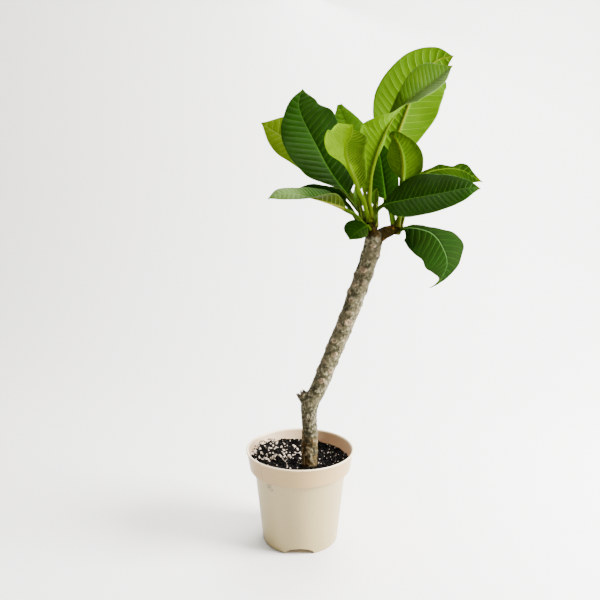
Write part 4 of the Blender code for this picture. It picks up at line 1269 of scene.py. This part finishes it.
def leaf_grid(leaf, settings):
    """Upper and under points of the leaf and its vein and rib fields and its field of painted shade
    and painted sheen, as rows of points from the left margin to the right one."""
    length = path_steps(leaf_path(leaf)).sum()
    start = blade_start(leaf)
    blade_length = length * (1 - start)
    # at least six rows to a vein
    pitch = min(settings.cell / MM, leaf.pitch / 6.5)
    stalk_rows = np.linspace(0, start, max(10, int(length * start / 1.2)), endpoint=False)
    s = np.concatenate([stalk_rows, np.linspace(start, 1, int(blade_length / pitch))])
    middle, side, face, share = frames(leaf, s)
    # the stalk flares towards its foot, where it clasps its shoot
    flare = 1 + 0.75 * np.clip(1 - s * length / FLARE_LENGTH, 0, 1) ** 1.5
    stalk = leaf.stalk * (1 - 0.8 * share) * flare
    on_stalk = np.minimum(0, s / start - 1)
    far = share * blade_length
    half = BLADE_COLUMNS + RIB_COLUMNS
    upper, under, veins, ribs, shade_and_sheen = np.zeros((5, len(s), 2 * half + 1, 3))
    fold_tip = leaf.fold_tip or leaf.fold
    thick = settings.thickness / MM
    rib = 1.1 * stalk
    for which, sign in ((0, -1), (1, 1)):
        # how much painted shade and painted sheen this half carries, from its base value to its tip
        # value
        painted_leaf_shade, painted_leaf_sheen = (
            field[2 * which] + (field[2 * which + 1] - field[2 * which]) * step(0.45, 0.85, share)
            for field in (leaf.painted_leaf_shade, leaf.painted_leaf_sheen)
        )
        width = np.maximum(half_width((leaf.left, leaf.right)[which], leaf.end[which], share), stalk)
        bladed = np.clip((width - stalk) / 4, 0, 1)
        fold = np.radians(leaf.fold[which] + (fold_tip[which] - leaf.fold[which]) * share)
        out, up, last = np.zeros((3, len(s)))
        for count in range(half + 1):
            # the next point of the row, out from the midrib, on a blade that curls and rolls under
            across = np.minimum(rib, width) * min(count / RIB_COLUMNS, 1)
            across = across + np.maximum(width - rib, 0) * max(0, count - RIB_COLUMNS) / BLADE_COLUMNS
            reach = across / width
            tilt = fold - leaf.curl * reach * bladed
            tilt -= math.radians(leaf.roll[which]) * step(0.84, 1.0, reach) * bladed
            out = out + (across - last) * np.cos(tilt)
            up = up + (across - last) * np.sin(tilt)
            last = across
            normal = -sign * np.sin(tilt)[:, None] * side + np.cos(tilt)[:, None] * face
            if count == 0:
                normal = face
            # side veins leave the midrib forwards and bend to the tip at the margin; the blade
            # puffs up between them
            drawn = far - 0.5 * across - 2.5 * bladed * reach**6
            phase = drawn / leaf.pitch + 0.31 * which
            puff = np.abs(np.sin(math.pi * phase)) ** 0.8 - 0.62
            beside = step(1.0, 3.0, across / np.maximum(stalk, 0.4)) * step(1.02, 0.75, reach)
            quilt = settings.relief / MM * leaf.relief * min(1, leaf.pitch / 6) * puff * beside * bladed
            # the margin waves, in long and in short waves
            ripple = reach**2.5 * np.sin(far / 9.5 + 2.1 * which + leaf.pitch)
            ripple += 0.5 * reach**3 * np.sin(far / 4.1 + leaf.pitch * 2)
            ripple *= leaf.wave * bladed
            groove = 0.22 * stalk * np.clip(1 - across / rib, 0, 1) * bladed
            top = middle + sign * out[:, None] * side + up[:, None] * face
            top = top + (quilt + ripple - groove)[:, None] * normal
            # a round keel under the midrib and a round stalk, thinner towards the margin
            round_rib = np.sqrt(np.clip(1 - (across / (1.02 * rib)) ** 2, 0, 1))
            round_stalk = np.sqrt(np.clip(1 - (across / (1.05 * stalk)) ** 2, 0, 1))
            blade_depth = thick * (1 - 0.45 * reach**6) + 1.0 * stalk * round_rib - groove
            stalk_depth = 0.5 + 1.35 * stalk * round_stalk
            depth = np.maximum(bladed * blade_depth + (1 - bladed) * stalk_depth, 0.4 * thick)
            j = half + sign * count
            upper[:, j] = top
            under[:, j] = top - depth[:, None] * normal
            veins[:, j] = np.stack([phase, 0 * phase + leaf.pitch, reach], -1)
            ribs[:, j] = np.stack([across / rib / leaf.keel, share + on_stalk, bladed], -1)
            shade_and_sheen[:, j] = np.stack([painted_leaf_shade, painted_leaf_sheen, 0 * share], -1)
    return upper, under, veins, ribs, shade_and_sheen


def sheet_faces(rows, columns):
    """Quads of the closed leaf: upper face, under face, margins and both ends."""
    low = rows * columns
    upper, under, edges = [], [], []
    for i in range(rows - 1):
        for j in range(columns - 1):
            a, b = i * columns + j, i * columns + j + 1
            c, d = b + columns, a + columns
            upper.append((a, b, c, d))
            under.append((low + a, low + d, low + c, low + b))
        a, d = i * columns, (i + 1) * columns
        edges.append((a, d, low + d, low + a))
        a, d = a + columns - 1, d + columns - 1
        edges.append((a, low + a, low + d, d))
    for j in range(columns - 1):
        edges.append((j, low + j, low + j + 1, j + 1))
        a = (rows - 1) * columns + j
        edges.append((a, a + 1, low + a + 1, low + a))
    return upper, under, edges


def leaf_skin(name, colours, through, glow, shine, upper):
    """Leaf skin. The upper face has a waxen cuticle with a soft sheen; the under face is matte
    and paler with proud veins. Thin enough for light from behind to glow through. Painted shade
    darkens and a painted sheen pales the colour where a leaf carries them."""
    made, tree, shader, place = surface_material(name)
    blade, patch, vein, rib, petiole = (rgba(linear(c)) for c in colours.split())
    (phase, pitch, reach), (across, share, bladed), (painted_leaf_shade, painted_leaf_sheen, _) = (
        add(tree, SPLIT, (add(tree, FIELD, attribute_name=field).outputs["Vector"],)).outputs
        for field in ("leaf_veins", "leaf_ribs", "leaf_tones")
    )
    mottle, fleck = add(tree, NOISE, (place, 55.0, 4.0)), add(tree, NOISE, (place, 480.0, 3.0))
    # side veins: lines at whole phases, a fifth of their distance wide by the midrib and a tenth
    # at the margin, where they also fade
    away = add(tree, MATH, (phase, 0.5), operation="PINGPONG")
    away = add(tree, MATH, (away, pitch), operation="MULTIPLY")
    wide = add(tree, MATH, (add(tree, RANGE, (reach, 0.0, 1.0, 0.1, 0.05)), pitch), operation="MULTIPLY")
    line = add(tree, RANGE, (away, wide, 0.0), interpolation_type="SMOOTHSTEP")
    for share_left in (bladed, add(tree, RANGE, (reach, 0.6, 1.0, 1.0, 0.3))):
        line = add(tree, MATH, (line, share_left), operation="MULTIPLY")
    # the veins show more strongly where the blade carries painted shade
    marked = add(tree, MATH, (painted_leaf_shade, 0.4, 0.32 if upper else 0.5), operation="MULTIPLY_ADD")
    veined = add(tree, MATH, (line, marked), operation="MULTIPLY")
    # midrib: a thin pale line above, fading to the tip; a round keel below
    near, far, last = (0.42, 0.12, 0.35) if upper else (0.95, 0.6, 0.8)
    middle = add(tree, RANGE, (across, near, far), interpolation_type="SMOOTHSTEP")
    fading = add(tree, RANGE, (share, 0.0, 1.0, 0.85, last))
    middle = add(tree, MATH, (middle, fading), operation="MULTIPLY")
    # darker patches about 18 mm across, deepened by painted shade, and a painted sheen of pale
    # grey-green standing in for reflected light
    dark = add(tree, RANGE, (mottle, 0.35, 0.65, 0.0, 0.5))
    dark = add(tree, MATH, (dark, painted_leaf_shade), operation="ADD", use_clamp=True)
    wax_and_painted_sheen = add(tree, MATH, (add(tree, RANGE, (mottle, 0.3, 0.6, 0.5)), painted_leaf_sheen), operation="MULTIPLY")
    colour = add(tree, MIX, (dark, blade, patch), data_type="RGBA")
    colour = add(tree, MIX, (wax_and_painted_sheen, colour, rgba(linear(PAINTED_SHEEN_COLOUR))), data_type="RGBA")
    # fine flecks of about 2 mm
    shade = add(tree, RANGE, (fleck, 0.0, 1.0, 0.86, 1.14))
    colour = add(tree, MIX, (1.0, colour, shade), data_type="RGBA", blend_type="MULTIPLY")
    # the stalk turns red-brown where it clasps the shoot
    clasp = add(tree, RANGE, (share, -0.72, -0.95, 0.0, 0.75))
    stem = add(tree, MIX, (clasp, petiole, rgba(linear(CLASP))), data_type="RGBA")
    bare = add(tree, MATH, (1.0, bladed), operation="SUBTRACT")
    # the thin margin lets light in and looks paler
    rim = add(tree, RANGE, (reach, 0.965, 1.0, 0.0, 0.4))
    rim = add(tree, MATH, (rim, bladed), operation="MULTIPLY")
    for part, tint in ((veined, vein), (middle, rib), (bare, stem), (rim, vein)):
        colour = add(tree, MIX, (part, colour, tint), data_type="RGBA")
    low, high = (0.34, 0.5) if upper else (0.5, 0.66)
    raised = add(tree, MATH, (line, -0.6 if upper else 1.0), operation="MULTIPLY")
    raised = add(tree, MATH, (fleck, 0.25, raised), operation="MULTIPLY_ADD")
    bump = add(tree, "ShaderNodeBump", {"Height": raised, "Strength": 0.7, "Distance": 0.0006})
    fill(tree, shader, {
        "Base Color": colour,
        "Roughness": add(tree, RANGE, (mottle, 0.0, 1.0, low, high)),
        "Normal": bump,
        "IOR": 1.45,
        "Specular IOR Level": shine,
        "Specular Tint": rgba(linear(SHEEN)),
    })
    light = add(tree, "ShaderNodeBsdfTranslucent", {"Color": rgba(linear(glow)), "Normal": bump})
    both = add(tree, "ShaderNodeMixShader", {0: through, 1: shader, 2: light})
    fill(tree, tree.nodes["Material Output"], {"Surface": both})
    return made


def leaf_skins():
    """Each look's upper and under material. No under face shines much."""
    skins = {}
    for look, (_, top, bottom, through, glow, shine) in LOOKS.items():
        skins[look] = [
            leaf_skin(f"leaf cuticle {look}", top, through, glow, shine, True),
            leaf_skin(f"leaf underside {look}", bottom, through, glow, min(shine, 0.04), False),
        ]
    return skins


def make_leaf(leaf, skins, settings):
    upper, under, *fields = leaf_grid(leaf, settings)
    points = np.concatenate([upper.reshape(-1, 3), under.reshape(-1, 3)])
    tops, bottoms, edges = sheet_faces(*upper.shape[:2])
    piece = mesh_piece(leaf.name + "_blade", points, tops + bottoms + edges, skins[leaf.look])
    kinds = [0] * len(tops) + [1] * (len(bottoms) + len(edges))
    piece.data.polygons.foreach_set("material_index", kinds)
    for name, field in zip(("leaf_veins", "leaf_ribs", "leaf_tones"), fields):
        store(piece.data, name, *np.tile(field.reshape(-1, 3), (2, 1)).T)
    finished(piece, LOOKS[leaf.look][0], leaf.name)


# Stage

FLOOR_FRONT = -1600
BEND_START = 500
BEND_RADIUS = 500
WALL_TOP = 2600
HALF_WIDTH = 3000
# Each light: its place, what it is aimed at, and its size. Broad soft window light from the upper
# right, and one behind that shines through the leaves
LIGHTS = {
    "sky": ((150, 150, 1600), (60, 100, 0), 1400),
    "key": ((1200, -250, 700), (60, 0, 250), 600),
    "back": ((250, 700, 1100), (80, 0, 380), 700),
}


def make_stage(s):
    # matt paint: even and soft, so that only the plant stands out
    wall = bpy.data.materials.new("matt painted backdrop")
    wall.use_nodes = True
    tree = wall.node_tree
    fill(tree, tree.nodes["Principled BSDF"], {"Base Color": rgba(s.wall), "Roughness": 0.9})
    bend = [
        (BEND_START + BEND_RADIUS * math.sin(a), BEND_RADIUS - BEND_RADIUS * math.cos(a))
        for a in np.linspace(0.1, math.pi / 2, 14)
    ]
    profile = [(FLOOR_FRONT, 0), (BEND_START, 0), *bend, (BEND_START + BEND_RADIUS, WALL_TOP)]
    points = [(x, y, z) for y, z in profile for x in (-HALF_WIDTH, HALF_WIDTH)]
    faces = [(2 * i, 2 * i + 1, 2 * i + 3, 2 * i + 2) for i in range(len(profile) - 1)]
    floor = mesh_piece("studio_floor", points, faces, [wall])
    scene = bpy.context.scene
    lens = bpy.data.cameras.new("camera")
    lens.lens = s.lens
    camera = bpy.data.objects.new("camera", lens)
    camera.location = AXIS + Vector((0, -s.distance, s.height))
    camera.rotation_euler = (math.pi / 2 - s.tilt, 0, 0)
    scene.collection.objects.link(camera)
    scene.camera = camera
    for name, (place, aim, size) in LIGHTS.items():
        light = bpy.data.lights.new(name, "AREA")
        light.size = size * MM
        light.energy = getattr(s, name)
        made = bpy.data.objects.new(name, light)
        made.location = AXIS + Vector(place) * MM
        way = AXIS + Vector(aim) * MM - made.location
        made.rotation_euler = way.to_track_quat("-Z", "Y").to_euler()
        scene.collection.objects.link(made)
    scene.world = bpy.data.worlds.new("room")
    scene.world.use_nodes = True
    tree = scene.world.node_tree
    fill(tree, tree.nodes["Background"], {"Color": (1, 1, 1, 1), "Strength": s.world})


# The add-on's parts: one maker for each piece or group of pieces, and the panel


class FRANGIPANI_OT_pot(bpy.types.Operator):
    """Turns the nursery pot and cuts its foot notches and drain holes"""

    bl_idname = "frangipani.pot"
    bl_label = "Nursery pot"

    def execute(self, context):
        make_pot(context.scene.frangipani_pot)
        return {"FINISHED"}


class FRANGIPANI_OT_soil(bpy.types.Operator):
    """Lays the potting mix and strews its crumbs and perlite"""

    bl_idname = "frangipani.soil"
    bl_label = "Potting mix"

    def execute(self, context):
        make_soil(context.scene.frangipani_soil)
        return {"FINISHED"}


class FRANGIPANI_OT_stem(bpy.types.Operator):
    """Grows the stem, its side branch and its leaf scars"""

    bl_idname = "frangipani.stem"
    bl_label = "Stem"

    def execute(self, context):
        make_stem(context.scene.frangipani_stem)
        return {"FINISHED"}


class FRANGIPANI_OT_leaves(bpy.types.Operator):
    """Builds every leaf with its stalk, midrib and veins"""

    bl_idname = "frangipani.leaves"
    bl_label = "Leaves"

    def execute(self, context):
        skins = leaf_skins()
        for leaf in LEAVES:
            make_leaf(leaf, skins, context.scene.frangipani_leaf)
        return {"FINISHED"}


class FRANGIPANI_OT_stage(bpy.types.Operator):
    """Sets the floor, the lights and the camera"""

    bl_idname = "frangipani.stage"
    bl_label = "Stage"

    def execute(self, context):
        make_stage(context.scene.frangipani_stage)
        return {"FINISHED"}


class FRANGIPANI_PT_panel(bpy.types.Panel):
    """Lists each maker with the sizes and colours that it uses"""

    bl_label = "Potted frangipani"
    bl_idname = "FRANGIPANI_PT_panel"
    bl_space_type = "VIEW_3D"
    bl_region_type = "UI"
    bl_category = "Frangipani"

    def draw(self, context):
        for maker, group in zip(MAKERS, GROUPS):
            box = self.layout.box()
            box.operator(maker.bl_idname)
            settings = getattr(context.scene, group)
            for key in settings.__annotations__:
                box.prop(settings, key)


GROUPS = {
    "frangipani_pot": PotSettings,
    "frangipani_soil": SoilSettings,
    "frangipani_stem": StemSettings,
    "frangipani_leaf": LeafSettings,
    "frangipani_stage": StageSettings,
}
MAKERS = (
    FRANGIPANI_OT_pot, FRANGIPANI_OT_soil, FRANGIPANI_OT_stem, FRANGIPANI_OT_leaves, FRANGIPANI_OT_stage,
)


def register():
    for kind in (*GROUPS.values(), *MAKERS, FRANGIPANI_PT_panel):
        bpy.utils.register_class(kind)
    for name, kind in GROUPS.items():
        setattr(bpy.types.Scene, name, PointerProperty(type=kind))


def unregister():
    for name in GROUPS:
        delattr(bpy.types.Scene, name)
    for kind in (FRANGIPANI_PT_panel, *reversed(MAKERS), *GROUPS.values()):
        bpy.utils.unregister_class(kind)


def main():
    register()
    bpy.ops.frangipani.pot()
    bpy.ops.frangipani.soil()
    bpy.ops.frangipani.stem()
    bpy.ops.frangipani.leaves()
    bpy.ops.frangipani.stage()


if __name__ == "__main__":
    main()
